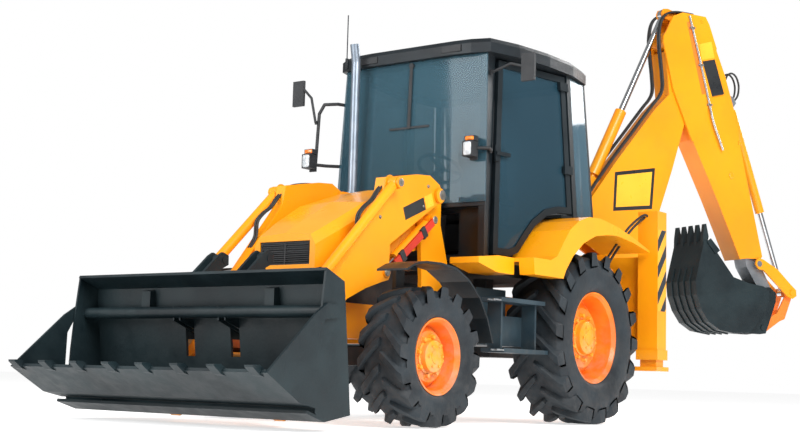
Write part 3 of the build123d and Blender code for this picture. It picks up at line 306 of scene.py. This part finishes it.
def hose(points, radius):
    """Grid of a round hose: a cubic curve through the points (each piece set by its four nearest points, the
    usual half-difference tangents), with a ring of the given radius square to it at each step."""
    around, steps = 10, 8
    p = np.asarray(points, float)
    p = np.vstack([2 * p[0] - p[1], p, 2 * p[-1] - p[-2]])
    t = np.linspace(0, 1, steps, endpoint=False)[None, :, None]
    a, b, c, d = (p[i:len(p) - 3 + i, None, :] for i in range(4))
    line = 0.5 * (2 * b + (c - a) * t + (2 * a - 5 * b + 4 * c - d) * t ** 2
                  + (3 * b - a - 3 * c + d) * t ** 3)
    line = np.vstack([line.reshape(-1, 3), p[-2]])
    along = np.gradient(line, axis=0)
    along /= np.linalg.norm(along, axis=1)[:, None]
    fixed = np.eye(3)[int(np.argmin(np.ptp(p, axis=0)))]
    across = np.cross(along, fixed)
    across /= np.linalg.norm(across, axis=1)[:, None]
    other = np.cross(along, across)
    turn = np.arange(around) * 2 * math.pi / around
    return line[:, None] + radius * (np.cos(turn)[None, :, None] * across[:, None]
                                     + np.sin(turn)[None, :, None] * other[:, None])


def slab(outline, low, high, place, bevel):
    """Grid of a flat plate with eased edges: the outline (first, up) at four heights between low and high, drawn
    in towards its middle by the bevel on both faces. place puts (first, across, up) in the shared frame."""
    line = np.asarray(outline, float)
    middle = line.mean(axis=0)
    away = line - middle
    drawn = line - away / np.linalg.norm(away, axis=1)[:, None] * bevel * 1.4
    rows = []
    for points, height in ((drawn, low), (line, low + bevel), (line, high - bevel), (drawn, high)):
        rows.append(place(np.stack([points[:, 0], np.full(len(points), height), points[:, 1]], -1)))
    return np.array(rows)


def plate(name, outline, low, high, hand, place, bevel, body, material):
    """A slab as a piece of its own, on the left side (hand 1) or the right (hand -1), low and high being
    measured outwards from the middle plane."""
    low, high = sorted((hand * low, hand * high))
    skin(name, [slab(outline, low, high, place, bevel)], body, material)


def bolts(centres, axis, radius, height):
    """Grids of hexagon bolt heads on washers at the given centres."""
    washer = [(radius * 1.35, 0.0), (radius * 1.35, height * 0.18), (radius * 1.25, height * 0.2)]
    head = [(radius, height * 0.15), (radius, height * 0.88), (radius * 0.86, height)]
    grids = []
    for centre in centres:
        at = on_machine(centre)
        grids += [turned(washer, at, axis, 20), turned(head, at, axis, 6)]
    return grids


# Fixings and hoses. Bolts, pins and clamps are zinc plated and part painted over, and hoses are dull rubber.
# Both are used by the pieces of several sections below.
zinc = finish("zinc_bolts", (0.34, 0.33, 0.29), 0.42, metal=0.8, second=(0.22, 0.21, 0.19), scale=30, peel=0.2)
rubber_hose = finish("hose_rubber", (0.010, 0.011, 0.012), 0.55, second=(0.020, 0.021, 0.022), scale=18,
                     peel=0.25, peel_scale=320)

# Fenders, sills and cowls. Pressed steel in the same gloss, a little smoother than the chassis. The orange
# is paint on the digger's tipping link, and along its dipper it is painted shade: a strip beside the pipe for
# the shade in the gap where the sliding part runs.
orange = finish("orange_paint_and_gap_shade", (0.88, 0.205, 0.018), 0.36, coat=0.4, second=(0.80, 0.165, 0.014), scale=2.0,
                dust=DUST, dust_top=0.7, peel=0.08, peel_scale=120)
panel = finish("panel_paint", (0.93, 0.36, 0.005), 0.30, coat=0.3, gloss=0.4, second=(0.91, 0.30, 0.004),
               scale=0.9, peel=0.05, peel_scale=140)
dress(panel, "fenders_and_sills", "bonnet")

# Tanks and treads. Blue-grey tanks between the axles, with two aluminium treads on each side to climb in by,
# their front edges worn bright.
tank_grey = finish("tank_grey", (0.014, 0.030, 0.042), 0.5, second=(0.024, 0.046, 0.060), scale=4,
                   dust=(0.10, 0.10, 0.09), dust_top=1.0, peel=0.1, gloss=0.4)
dress(tank_grey, "tanks_and_steps")
bright_edge = finish("worn_aluminium", (0.42, 0.44, 0.45), 0.4, metal=0.85, second=(0.25, 0.27, 0.28), scale=30,
                     edges=(0.10, 0.10, 0.10), peel=0.25)
TREAD_RISE = 0.011
treads = []
for x0, x1, z in ((0.995, 1.485, 0.938), (0.952, 1.434, 0.567)):
    front = [(x0, z), (x1, z), (x1, z + TREAD_RISE), (x0, z + TREAD_RISE)]
    for hand in (1.0, -1.0):
        for y0, y1 in ((1.030, 1.0495), (0.985, 1.000)):
            treads.append(slab(front, *sorted((hand * y0, hand * y1)), on_machine, 0.003))
skin("tread_edges", treads, "chassis", bright_edge)

# Cab. A frame of square tube and folded sheet in satin black, a moulded roof with a fine grain, and a floor
# with a rubber mat.
roof_black = finish("roof_shell", (0.005, 0.008, 0.011), 0.45, coat=0.05, second=(0.009, 0.014, 0.018), scale=5,
                    peel=0.35, peel_scale=260, gloss=0.35)
dress(black, "cab_frame", "door_left", "door_right")
dress(roof_black, "cab_roof")
mat_rubber = finish("floor_mat", (0.012, 0.013, 0.014), 0.85, second=(0.02, 0.02, 0.02), scale=12, peel=0.8,
                    peel_scale=150)
dress(mat_rubber, "cab_floor")

# Glass. Flat toughened panes with a faint blue tint, bonded into the frame or hung on it. The doors' panes are
# the darkest and the windscreen is the clearest.


def pane_glass(name, tint, see_through):
    """Tinted glass: smooth, mostly clear, a little uneven in its tint."""
    m = finish(name, tint, 0.05, coat=0.0, second=tuple(c * 1.25 for c in tint), scale=0.8)
    s = m.node_tree.nodes["Principled BSDF"]
    s.inputs["Alpha"].default_value = see_through
    s.inputs["Specular IOR Level"].default_value = 0.35
    return m


tinted = pane_glass("tinted_glass", (0.035, 0.085, 0.115), 0.62)
side_tint = pane_glass("side_glass", (0.016, 0.045, 0.066), 0.80)
rear_tint = pane_glass("quarter_glass", (0.05, 0.11, 0.15), 0.72)
dress(tinted, "windscreen")
dress(side_tint, "door_glass_left", "door_glass_right")
dress(rear_tint, "cab_windows")

# The seat, the console and the controls behind the glass. Grained dark plastic, and two cushions of woven
# cloth on a moulded base with an arm rest on each side.
dark_trim = finish("dark_trim", (0.016, 0.018, 0.02), 0.6, second=(0.025, 0.027, 0.03), scale=6, peel=0.5,
                   peel_scale=300)
cloth = finish("seat_cloth", (0.02, 0.021, 0.024), 0.9, second=(0.035, 0.036, 0.04), scale=20, peel=0.9,
               peel_scale=600)
dress(dark_trim, "console_and_wheel", "mirrors_and_wiper")


def cushion(name, length, width, place):
    """A closed padded form: thickness grows from the welt to the middle by (1 - u^4)(1 - v^4), the sides pull
    in between the corners by a little of cos(pi u / 2), and sewn channels press it down along narrow bell
    curves."""
    thick, crown, channels, weld = 0.07, 0.035, (0.33, 0.66), 0.0004
    u = np.sin(np.linspace(-math.pi / 2, math.pi / 2, 41))[:, None]
    v = np.sin(np.linspace(-math.pi / 2, math.pi / 2, 41))[None, :]
    fall = (1 - u ** 4) * (1 - v ** 4)
    pull = 1 - 0.025 * np.cos(math.pi * v / 2) * abs(u) ** 3 - 0.02 * abs(u) ** 9 * abs(v) ** 9
    pull_v = 1 - 0.03 * np.cos(math.pi * u / 2) * abs(v) ** 3 - 0.02 * abs(u) ** 9 * abs(v) ** 9
    x, y = u * pull * length / 2 + 0 * v, v * pull_v * width / 2 + 0 * u
    seams = sum(np.exp(-((v - (2 * c - 1)) / 0.035) ** 2) for c in channels)
    groove = seams * 0.010 * (abs(u) < 0.82) * fall + 0.012 * np.exp(-((abs(u) - 0.84) / 0.03) ** 2) * fall
    top = thick / 2 + crown * fall ** 0.7 - groove
    bottom = -thick / 2 - 0.006 * fall
    sheet_top = np.stack([x, y, np.where(fall < 1e-9, 0.25 * thick, top)], -1)
    sheet_low = np.stack([x, y, np.where(fall < 1e-9, -0.25 * thick, bottom)], -1)

    def rim_line(g):
        """The points round a sheet's edge."""
        return np.vstack([g[0, :-1], g[:-1, -1], g[-1, :0:-1], g[:0:-1, 0]])

    def sew(work):
        """Joins the sheets and the band between them where they meet."""
        bmesh.ops.remove_doubles(work, verts=work.verts, dist=weld)

    low_rim = rim_line(sheet_low)
    band = np.array([low_rim, low_rim * [1.012, 1.012, 0], rim_line(sheet_top)])
    points, faces, start = [], [], 0
    for grid in (sheet_top, sheet_low, band):
        index = numbers(grid, start)
        faces += net(closed(index) if grid is band else index)
        points.append(grid.reshape(-1, 3))
        start += index.size
    pad = piece_of(name, [place(np.vstack(points))], faces, cloth, mend=sew)
    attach(pad, "chassis")
    return pad


def seat_place(origin, lean):
    """Turns a pad built flat about Y by the lean and sets its middle at the origin."""
    c, s = math.cos(lean), math.sin(lean)
    turn = np.array([[c, 0, s], [0, 1, 0], [-s, 0, c]])
    return lambda p: on_machine(np.asarray(p) @ turn.T + origin)


bottom_pad = cushion("seat_cushion", 0.46, 0.50, seat_place((0.275, 0.0, 1.715), math.radians(-4)))
cushion("seat_back", 0.62, 0.46, seat_place((0.062, 0.0, 2.05), math.radians(-81)))
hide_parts("seat")
base = [(0.09, 1.662), (0.46, 1.662), (0.44, 1.60), (0.40, 1.44), (0.16, 1.44), (0.11, 1.60)]
arm_rest = [(0.08, 1.835), (0.41, 1.835), (0.42, 1.862), (0.40, 1.886), (0.10, 1.886), (0.07, 1.86)]
rest_strut = [(0.10, 1.70), (0.16, 1.70), (0.15, 1.84), (0.10, 1.84)]
skin("seat_base", [slab(base, -0.17, 0.17, on_machine, 0.012)]
     + [slab(arm_rest, y, y + 0.06, on_machine, 0.012) for y in (-0.335, 0.275)]
     + [slab(rest_strut, y, y + 0.03, on_machine, 0.006) for y in (-0.29, 0.26)],
     "chassis", dark_trim)

# Exhaust stack. A grey aluminised pipe that stands beside the bonnet, mottled by heat and specked with dark
# scale.
stack_steel = finish("stack_steel", (0.20, 0.24, 0.29), 0.38, metal=0.75, second=(0.28, 0.32, 0.37), scale=7,
                     edges=(0.12, 0.10, 0.09), peel=0.1)
dress(stack_steel, "exhaust_stack")

# Lamps. Dark housings under the front of the roof, with bulged clear lenses on the two work lamps and orange
# ones on the two indicators over them.
lamp_glass = finish("lamp_glass", (0.62, 0.66, 0.68), 0.12, coat=0.8, second=(0.4, 0.44, 0.47), scale=25,
                    peel=0.6, peel_scale=160)
dress(dark_trim, "lamps")
lens_orange = finish("orange_lens", (0.85, 0.16, 0.008), 0.18, coat=0.9, second=(0.95, 0.27, 0.02), scale=40,
                     peel=0.4, peel_scale=220)


def lens(y0, y1, z0, z1, x):
    """Grid of a lamp's front: a rounded rectangle from (y0, z0) to (y1, z1), |u|^6 + |v|^6 = 1, drawn out
    forwards from x by the bulge in the shape (1 - r^2)."""
    bulge = 0.010
    r, t = np.linspace(1.0, 0.02, 9)[:, None], np.linspace(0, 2 * math.pi, 40, endpoint=False)[None, :]
    c, s = np.cos(t), np.sin(t)
    size = (abs(c) ** 6 + abs(s) ** 6) ** (-1 / 6)
    y = (y0 + y1) / 2 + (y1 - y0) / 2 * r * size * c
    z = (z0 + z1) / 2 + (z1 - z0) / 2 * r * size * s
    front = on_machine(np.stack([x + bulge * (1 - r ** 2) + 0 * y, y, z], -1))
    back = on_machine(np.stack([x - 0.004 + 0 * y[:1], y[:1], z[:1]], -1))
    return np.concatenate([back, front])


skin("head_lamp_lenses", [lens(0.608, 0.682, 2.088, 2.192, 1.296), lens(-0.957, -0.883, 2.088, 2.192, 1.401)],
     "chassis", lamp_glass)
skin("indicator_lenses", [lens(0.605, 0.685, 2.209, 2.241, 1.266), lens(-0.960, -0.880, 2.209, 2.241, 1.371)],
     "chassis", lens_orange)

# Tyres. Dark rubber with a bluish bloom on the walls, dusty between the lugs. Each takes the place of a plain
# tyre of the same outer size.
tyre_rubber = finish("tyre_rubber", (0.008, 0.012, 0.016), 0.62, second=(0.016, 0.025, 0.032), scale=4,
                     dust=(0.045, 0.048, 0.050), dust_top=1.3, peel=0.35, peel_scale=70, gloss=0.35)


def tyre(name, body, centre, width, rim, lugs, lug_height, hand):
    """The carcass is a closed section (radius, offset) carried round the axle. Each lug is a bar whose middle
    line goes from the centre to the shoulder while it turns by 0.95 of a step, with a flat top and sloped
    flanks, and then runs down the wall; left and right lugs are half a step apart."""
    x, y, radius = centre
    core, h = radius - lug_height, width / 2
    mid = rim + (core - rim) * 0.5
    section = np.array([(rim - 0.006, -h * 0.80), (rim + 0.012, -h * 0.90), (rim + 0.035, -h * 0.955),
                        (mid - 0.04, -h * 0.985), (mid, -h * 0.99), (mid + 0.04, -h * 0.975),
                        (core - 0.06, -h * 0.93), (core - 0.025, -h * 0.86), (core - 0.008, -h * 0.74),
                        (core - 0.002, -h * 0.5), (core, -h * 0.2)])
    section = np.vstack([section, section[::-1] * [1, -1], [(rim - 0.006, h * 0.4), (rim - 0.006, -h * 0.4)]])
    t = np.linspace(0, 2 * math.pi, 96, endpoint=False)
    ring = np.stack([np.cos(t), -np.sin(t)], -1)
    carcass = np.stack([section[:, None, 0] * ring[:, 0], section[:, None, 1] + 0 * ring[:, 0],
                        section[:, None, 0] * ring[:, 1]], -1)
    grids = [np.concatenate([carcass, carcass[:1]])]
    step = 2 * math.pi / lugs
    run = np.array([0.0, 0.1, 0.28, 0.46, 0.64, 0.80, 0.92, 1.0])
    w = 0.008 + (h - 0.012) * np.minimum(run / 0.92, 1.0) ** 0.97
    ease = step * 0.95 * run ** 1.08
    tops = np.interp(run, [0, 0.1, 0.8, 0.92, 1.0],
                     [radius - 0.014, radius - 0.0075, radius - 0.0075, radius - 0.016, core - 0.005])
    feet = np.interp(run, [0, 0.64, 0.8, 0.92, 1.0],
                     [core - 0.008, core - 0.012, core - 0.035, core - 0.075, core - 0.085])
    wide = np.interp(run, [0, 0.1, 0.8, 1.0], [0.020, 0.026, 0.034, 0.040])
    foot_wide = wide + np.interp(run, [0, 1], [0.010, 0.016])
    across = np.stack([-foot_wide, -wide - 0.003, -wide + 0.004, wide - 0.004, wide + 0.003, foot_wide], -1)
    up = np.stack([feet, tops - 0.006, tops, tops, tops - 0.006, feet], -1)
    for lug_side in (1, -1):
        for k in range(lugs):
            a = step * k + (step / 2 if lug_side < 0 else 0) + ease[:, None] + across / up
            grids.append(np.stack([up * np.cos(a), lug_side * w[:, None] + 0 * a, -up * np.sin(a)], -1))
    grids = [on_machine(g * [1, hand, 1] + [x, y * hand, radius]) for g in grids]
    return skin_tyre(name, grids, body)


def skin_tyre(name, grids, body):
    """The carcass grid closes on itself both ways; the lug grids are open bars with a flat face at each end."""
    carcass, bars = grids[0], grids[1:]
    index = numbers(carcass, 0)
    start = index.size
    index[-1] = index[0]
    points, faces = [carcass.reshape(-1, 3)], net(closed(index))
    for bar in bars:
        index = numbers(bar, start)
        faces += [index[0, ::-1].tolist(), index[-1].tolist()] + net(closed(index))
        points.append(bar.reshape(-1, 3))
        start += index.size

    def drop_loose(work):
        """The carcass's last row repeats its first and has no faces, so its points go."""
        bmesh.ops.delete(work, geom=[v for v in work.verts if not v.link_faces], context="VERTS")

    piece = piece_of(name, points, faces, tyre_rubber, crease=32, mend=drop_loose)
    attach(piece, body)
    return piece


REAR_WHEEL, FRONT_WHEEL = (0.0, 0.885, REAR_RADIUS), (2.175, 0.880, 0.500)
for tag, hand in (("left", 1), ("right", -1)):
    rear = tyre("lugged_rear_tyre_" + tag, "rear_wheel_" + tag, REAR_WHEEL, 0.480, 0.385, 18, 0.046, hand)
    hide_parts("rear_tyre_" + tag)
    front = tyre("lugged_front_tyre_" + tag, "front_wheel_" + tag, FRONT_WHEEL, 0.375, 0.280, 16, 0.036, hand)
    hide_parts("front_tyre_" + tag)

# Wheels. Pressed steel discs and rims sprayed orange, each with a stepped cap and a ring of nuts in yellow,
# dusty round the nuts.
wheel_orange = finish("wheel_orange", (0.84, 0.155, 0.006), 0.4, coat=0.15, gloss=0.4, second=(0.88, 0.22, 0.010),
                      scale=5, dust=DUST, dust_top=1.1, peel=0.1)
dress(wheel_orange, "rear_rim_left", "rear_rim_right", "front_rim_left", "front_rim_right")
hub_yellow = finish("hub_paint", (0.92, 0.34, 0.008), 0.38, coat=0.15, gloss=0.4, second=(0.86, 0.26, 0.006),
                    scale=6, dust=DUST, dust_top=1.1, peel=0.15)
for tag, hand in (("left", 1), ("right", -1)):
    axis = (0, hand, 0)
    for axle_name, (x, y, z), face, reach, nut_ring, nuts in (("rear", REAR_WHEEL, 0.080, 0.150, 0.185, 10),
                                                              ("front", FRONT_WHEEL, 0.070, 0.128, 0.138, 8)):
        body = axle_name + "_wheel_" + tag

        def ring_of(count, radius, out, turn):
            """Points spread evenly round the axle at the given radius and distance out from the wheel's middle."""
            t = np.arange(count) * 2 * math.pi / count + turn
            return np.stack([x + radius * np.cos(t), np.full(count, (y + out) * hand), z + radius * np.sin(t)], -1)

        cap = [(reach, face - 0.004), (reach, face + 0.010), (reach - 0.012, face + 0.016),
               (reach - 0.016, face + 0.052), (reach - 0.030, face + 0.062), (reach * 0.42, face + 0.066),
               (reach * 0.40, face + 0.071), (0.012, face + 0.072)]
        cap_bolts = bolts(ring_of(6, reach * 0.62, face + 0.063, 0), axis, 0.010, 0.010)
        skin("hub_cap_" + axle_name + "_" + tag,
             [turned(cap, on_machine([x, y * hand, z]), axis, 48)] + cap_bolts, body, hub_yellow)
        skin("wheel_nuts_" + axle_name + "_" + tag, bolts(ring_of(nuts, nut_ring, face, 0.2), axis, 0.017, 0.030),
             body, hub_yellow)

# Steering knuckles. They carry the mudguards, which turn with the front wheels, and are satin black like the
# axles.
dress(black, "knuckle_left", "knuckle_right")

# Loader arms, their rams and the bucket. Arms in gloss yellow, hard-chromed rods, and the bucket in thick dark
# paint with small paler scuffs.
chrome = finish("hard_chrome", (0.62, 0.64, 0.66), 0.12, metal=1.0, second=(0.52, 0.54, 0.56), scale=9)
bucket_paint = finish("bucket_paint", (0.004, 0.010, 0.013), 0.46, second=(0.010, 0.021, 0.025), scale=2.2,
                      edges=(0.030, 0.042, 0.046), peel=0.3, peel_scale=35, gloss=0.35)
dress(yellow, "loader_arms", "lift_barrels", "tilt_barrels")
dress(chrome, "lift_rods", "tilt_rods", "clam_rods", "boom_ram_rod", "dipper_ram_rod", "crowd_ram_rod")
dress(bucket_paint, "loader_bucket", "bucket_clam", "clam_barrels", "digger_bucket")

# Stabilisers and digger. The same yellow for the legs, boom, dipper and barrels, bare grey steel for the
# dipper's sliding part, and orange for the tipping link.
dress(yellow, "stabiliser_left", "stabiliser_right", "boom", "boom_ram_barrel", "dipper", "dipper_ram_barrel",
      "crowd_ram_barrel", "tipping_lever")
slide_grey = finish("slide_grey", (0.30, 0.33, 0.36), 0.4, metal=0.6, second=(0.2, 0.22, 0.24), scale=6, peel=0.2)
dress(slide_grey, "dipper_extension")
dress(orange, "tipping_link")

# Loader details. Pin ends, bare plates and bolts on the outer face of each arm (0.530 from the middle), the red
# strut that locks the raised arms with its clamps, and two hoses that run to the bucket's rams.
strut_red = finish("strut_red", (0.62, 0.035, 0.012), 0.35, coat=0.5, second=(0.52, 0.025, 0.010), scale=5,
                   peel=0.1)
label_dark = finish("label_film", (0.012, 0.014, 0.016), 0.3, coat=0.3, second=(0.022, 0.024, 0.026), scale=3)
label_yellow = finish("label_square", (0.93, 0.50, 0.03), 0.3, coat=0.3, second=(0.90, 0.42, 0.02), scale=3)
ARM_FACE, HOSE_RISE = 0.530, 0.016
arm_label = [(1.955, 1.600), (1.700, 1.709), (1.664, 1.619), (1.920, 1.511)]
arm_square = [(1.690, 1.713), (1.596, 1.753), (1.560, 1.664), (1.654, 1.624)]
lock_strut = [(1.590, 1.560), (2.060, 1.200), (2.030, 1.150), (1.560, 1.510)]
arm_hose_line = [(1.56, 1.835), (1.80, 1.842), (2.05, 1.80), (2.20, 1.70), (2.281, 1.608), (2.37, 1.545),
                 (2.435, 1.473), (2.444, 1.364), (2.50, 1.27)]
for tag, hand in (("left", 1), ("right", -1)):
    axis = (0, hand, 0)
    plate("arm_label_" + tag, arm_label, 0.5298, 0.5320, hand, on_machine, 0.0006, "loader_arms", label_dark)
    plate("arm_square_" + tag, arm_square, 0.5298, 0.5320, hand, on_machine, 0.0006, "loader_arms", label_yellow)
    ends = []
    for x, z, radius, y, proud in ((1.4825, 1.750, 0.042, 0.545, 0.014), (2.125, 1.760, 0.030, 0.634, 0.006),
                                   (2.143, 1.104, 0.030, 0.542, 0.010), (3.190, 0.115, 0.026, 0.572, 0.008),
                                   (1.545, 1.552, 0.030, 0.532, 0.010)):
        ends.append(turned([(radius, -0.002), (radius, proud * 0.7), (radius * 0.86, proud),
                            (radius * 0.3, proud), (radius * 0.28, proud + 0.004), (0.004, proud + 0.004)],
                           on_machine([x, hand * y, z]), axis, 28))
    skin("pin_ends_" + tag, ends[:-1], "loader_arms", zinc)
    skin("tower_pin_end_" + tag, ends[-1:], "chassis", zinc)
    plate("lock_strut_" + tag, lock_strut, 0.5305, 0.5480, hand, on_machine, 0.004, "loader_arms", strut_red)
    clamps = [slab([(x, z), (x + 0.046, z - 0.035), (x - 0.004, z - 0.102), (x - 0.050, z - 0.067)],
                   *sorted((hand * ARM_FACE, hand * 0.5530)), on_machine, 0.003)
              for x, z in ((1.700, 1.488), (1.960, 1.289))]
    skin("strut_clamps_" + tag, clamps, "loader_arms", dark_trim)
    pair = [hose(on_machine([(x, hand * y, z + HOSE_RISE) for x, z in arm_hose_line]), 0.0095)
            for y in (0.502, 0.478)]
    skin("arm_hoses_" + tag, pair, "loader_arms", rubber_hose)
    spots = [(x, hand * ARM_FACE, z) for x, z in ((1.640, 1.800), (1.700, 1.640), (2.170, 1.660), (2.230, 1.500))]
    skin("arm_bolts_" + tag, bolts(spots, axis, 0.011, 0.009), "loader_arms", zinc)

# Grille and nose. The grille's plate is dark trim, with six thin sloped louvres across it in black that lift
# with the bonnet.
dress(dark_trim, "grille")
LOUVRES = 6
grille_low, grille_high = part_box("grille")
nose = grille_high.x
louvres = []
for k in range(LOUVRES):
    z = grille_low.z + 0.016 + k * (grille_high.z - grille_low.z - 0.032) / (LOUVRES - 1)
    blade = [(nose - 0.016, z - 0.004), (nose - 0.002, z - 0.006), (nose - 0.002, z - 0.002),
             (nose - 0.016, z + 0.002)]
    louvres.append(slab(blade, grille_low.y + 0.012, grille_high.y - 0.012, lambda p: p, 0.001))
skin("grille_louvres", louvres, "bonnet", black)

# Stabiliser posts. A plate with diagonal warning stripes on each outer face, and a pair of hoses that leave two
# fittings on each head and run in to the frame. A stripe is dark where the fraction of 4.3 (z + 1.25 x) is over
# 0.52.
stripes = finish("warning_stripes", (0.93, 0.42, 0.02), 0.32, coat=0.3)
nodes, links = stripes.node_tree.nodes, stripes.node_tree.links
where = next(n for n in nodes if n.type == "TEX_COORD")
split = nodes.new("ShaderNodeSeparateXYZ")
slope, band = nodes.new("ShaderNodeMath"), nodes.new("ShaderNodeMath")
part_of, dark = nodes.new("ShaderNodeMath"), nodes.new("ShaderNodeMath")
slope.operation, band.operation = "MULTIPLY_ADD", "MULTIPLY"
part_of.operation, dark.operation = "FRACT", "GREATER_THAN"
slope.inputs[1].default_value = 1.25
band.inputs[1].default_value = 4.3
dark.inputs[1].default_value = 0.52
two = nodes.new("ShaderNodeMix")
two.data_type = "RGBA"
two.inputs["B"].default_value = (0.012, 0.020, 0.030, 1)
base_colour = nodes["Principled BSDF"].inputs["Base Color"]
for start, end in ((where.outputs["Object"], split.inputs[0]), (split.outputs["X"], slope.inputs[0]),
                   (split.outputs["Z"], slope.inputs[2]), (slope.outputs[0], band.inputs[0]),
                   (band.outputs[0], part_of.inputs[0]), (part_of.outputs[0], dark.inputs[0]),
                   (base_colour.links[0].from_socket, two.inputs["A"]), (dark.outputs[0], two.inputs["Factor"]),
                   (two.outputs["Result"], base_colour)):
    links.new(start, end)
POST_HOSES_X = (-1.02, -1.09)
post_face = [(-1.142, 0.990), (-0.978, 0.990), (-0.978, 1.715), (-1.142, 1.715)]
post_hose_line = [(0.0, 1.08, 1.742), (0.01, 1.08, 1.80), (0.09, 1.06, 1.84), (0.25, 0.98, 1.70),
                  (0.44, 0.88, 1.42), (0.50, 0.80, 1.20), (0.47, 0.60, 1.06)]
fitting = [(0.015, -0.004), (0.015, 0.022), (0.012, 0.026), (0.012, 0.044), (0.011, 0.046)]
for tag, hand in (("left", 1), ("right", -1)):
    plate("warning_plate_" + tag, post_face, 1.1748, 1.1768, hand, on_machine, 0.0005, "chassis", stripes)
    pair = [hose(on_machine([(x0 + x, hand * y, z) for x, y, z in post_hose_line]), 0.011) for x0 in POST_HOSES_X]
    skin("post_hoses_" + tag, pair, "chassis", rubber_hose)
    fittings = [turned(fitting, on_machine([x0, hand * 1.08, 1.735]), (0, 0, 1), 6) for x0 in POST_HOSES_X]
    skin("post_fittings_" + tag, fittings, "chassis", zinc)

# Digger details. The bright pipe, an orange strip of painted shade in the gap beside it, the bare plates on the
# dipper, the pin ends, and the hoses that run up the boom, loop over its head and carry on along the dipper.
BOOM_SIDE, DIPPER_SIDE, DIPPER_LOW_SIDE = 0.115, 0.140, 0.120
BOOM_HOSES_N = (0.068, 0.096)
bright_pipe = finish("bright_pipe", (0.50, 0.53, 0.55), 0.25, metal=0.95, second=(0.38, 0.41, 0.43), scale=14,
                     peel=0.1)
pipe_line = [(0.975, 3.985), (0.990, 3.930), (1.100, 3.555), (1.220, 3.118), (1.263, 2.958), (1.330, 2.800),
             (1.387, 2.673)]
# The orange strip beside the pipe is painted shade, for the shade in the gap where the dipper's sliding part runs.
pipe_gap_shade = [(0.950, 3.920), (0.990, 3.930), (1.178, 3.220), (1.138, 3.210)]
dipper_square = [(1.101, 3.715), (1.255, 3.761), (1.292, 3.600), (1.138, 3.560)]
dipper_label = [(1.142, 3.545), (1.294, 3.585), (1.412, 3.245), (1.262, 3.205)]
boom_border = [(0.132, 2.346), (0.595, 2.427), (0.563, 2.024), (0.114, 1.970)]
boom_panel = [(0.160, 2.316), (0.561, 2.386), (0.533, 2.056), (0.144, 2.009)]
boom_line = [(-0.185, 2.055), (-0.060, 2.235), (0.115, 2.470), (0.345, 2.755), (0.570, 3.036), (0.665, 3.150),
             (0.700, 3.245), (0.690, 3.400)]
head_line = [(0.690, 3.400), (0.662, 3.618), (0.655, 3.760), (0.680, 3.900), (0.745, 3.985), (0.850, 4.018),
             (0.960, 4.022), (1.060, 4.020)]
crowd_line = [(1.500, 3.380), (1.540, 3.470), (1.600, 3.500), (1.655, 3.465), (1.685, 3.380), (1.672, 3.280),
              (1.625, 3.215)]


def beside(line, n):
    """Points (s, z) of the digger's plane, n to the left of it, in the shared frame."""
    return on_digger([(s, n, z) for s, z in line])


for tag, hand in (("left", 1), ("right", -1)):
    outwards = on_digger([0, hand, 0]) - on_digger([0, 0, 0])
    skin("dipper_pipe_" + tag, [hose(beside(pipe_line, hand * 0.1525), 0.011)], "dipper", bright_pipe)
    grips = [slab([(s - 0.028, z - 0.008), (s + 0.028, z - 0.008), (s + 0.028, z + 0.012), (s - 0.028, z + 0.012)],
                  *sorted((hand * 0.1385, hand * 0.167)), on_digger, 0.003)
             for s, z in ((1.010, 3.862), (1.115, 3.500), (1.222, 3.110))]
    skin("pipe_clamps_" + tag, grips, "dipper", zinc)
    # Painted shade: an orange strip beside the pipe, for the shade in the gap where the sliding part runs.
    plate("dipper_gap_shade_" + tag, pipe_gap_shade, 0.1396, 0.1408, hand, on_digger, 0.0004, "dipper", orange)
    plate("dipper_square_" + tag, dipper_square, 0.1396, 0.1416, hand, on_digger, 0.0006, "dipper", label_yellow)
    plate("dipper_label_" + tag, dipper_label, 0.118, 0.1416, hand, on_digger, 0.0006, "dipper", label_dark)
    caps = []
    for s, z, radius, n in ((0.780, 3.729, 0.036, BOOM_SIDE), (1.130, 3.945, 0.013, DIPPER_SIDE),
                            (1.518, 2.433, 0.030, DIPPER_LOW_SIDE), (1.620, 2.770, 0.018, DIPPER_LOW_SIDE)):
        caps.append(turned([(radius, -0.003), (radius, 0.006), (radius * 0.8, 0.010), (radius * 0.35, 0.010),
                            (radius * 0.33, 0.013), (0.004, 0.013)], on_digger([s, hand * n, z]), outwards, 28))
    skin("dipper_bosses_" + tag, caps[1:], "dipper", yellow)
    skin("pivot_cap_" + tag, caps[:1], "dipper", zinc)
    plate("boom_border_" + tag, boom_border, 0.1146, 0.1162, hand, on_digger, 0.0004, "boom", label_dark)
    plate("boom_panel_" + tag, boom_panel, 0.1150, 0.1170, hand, on_digger, 0.0004, "boom", label_yellow)
    run = [hose(beside(boom_line, hand * n), 0.011) for n in BOOM_HOSES_N]
    skin("boom_hoses_" + tag, run, "boom", rubber_hose)
    head = [hose(beside(head_line, hand * n), 0.011) for n in BOOM_HOSES_N]
    loop = skin("head_hoses_" + tag, head, None, rubber_hose)
    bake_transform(loop)
    skin("crowd_hoses_" + tag, [hose(beside(crowd_line, hand * 0.030), 0.010)], "dipper_extension", rubber_hose)
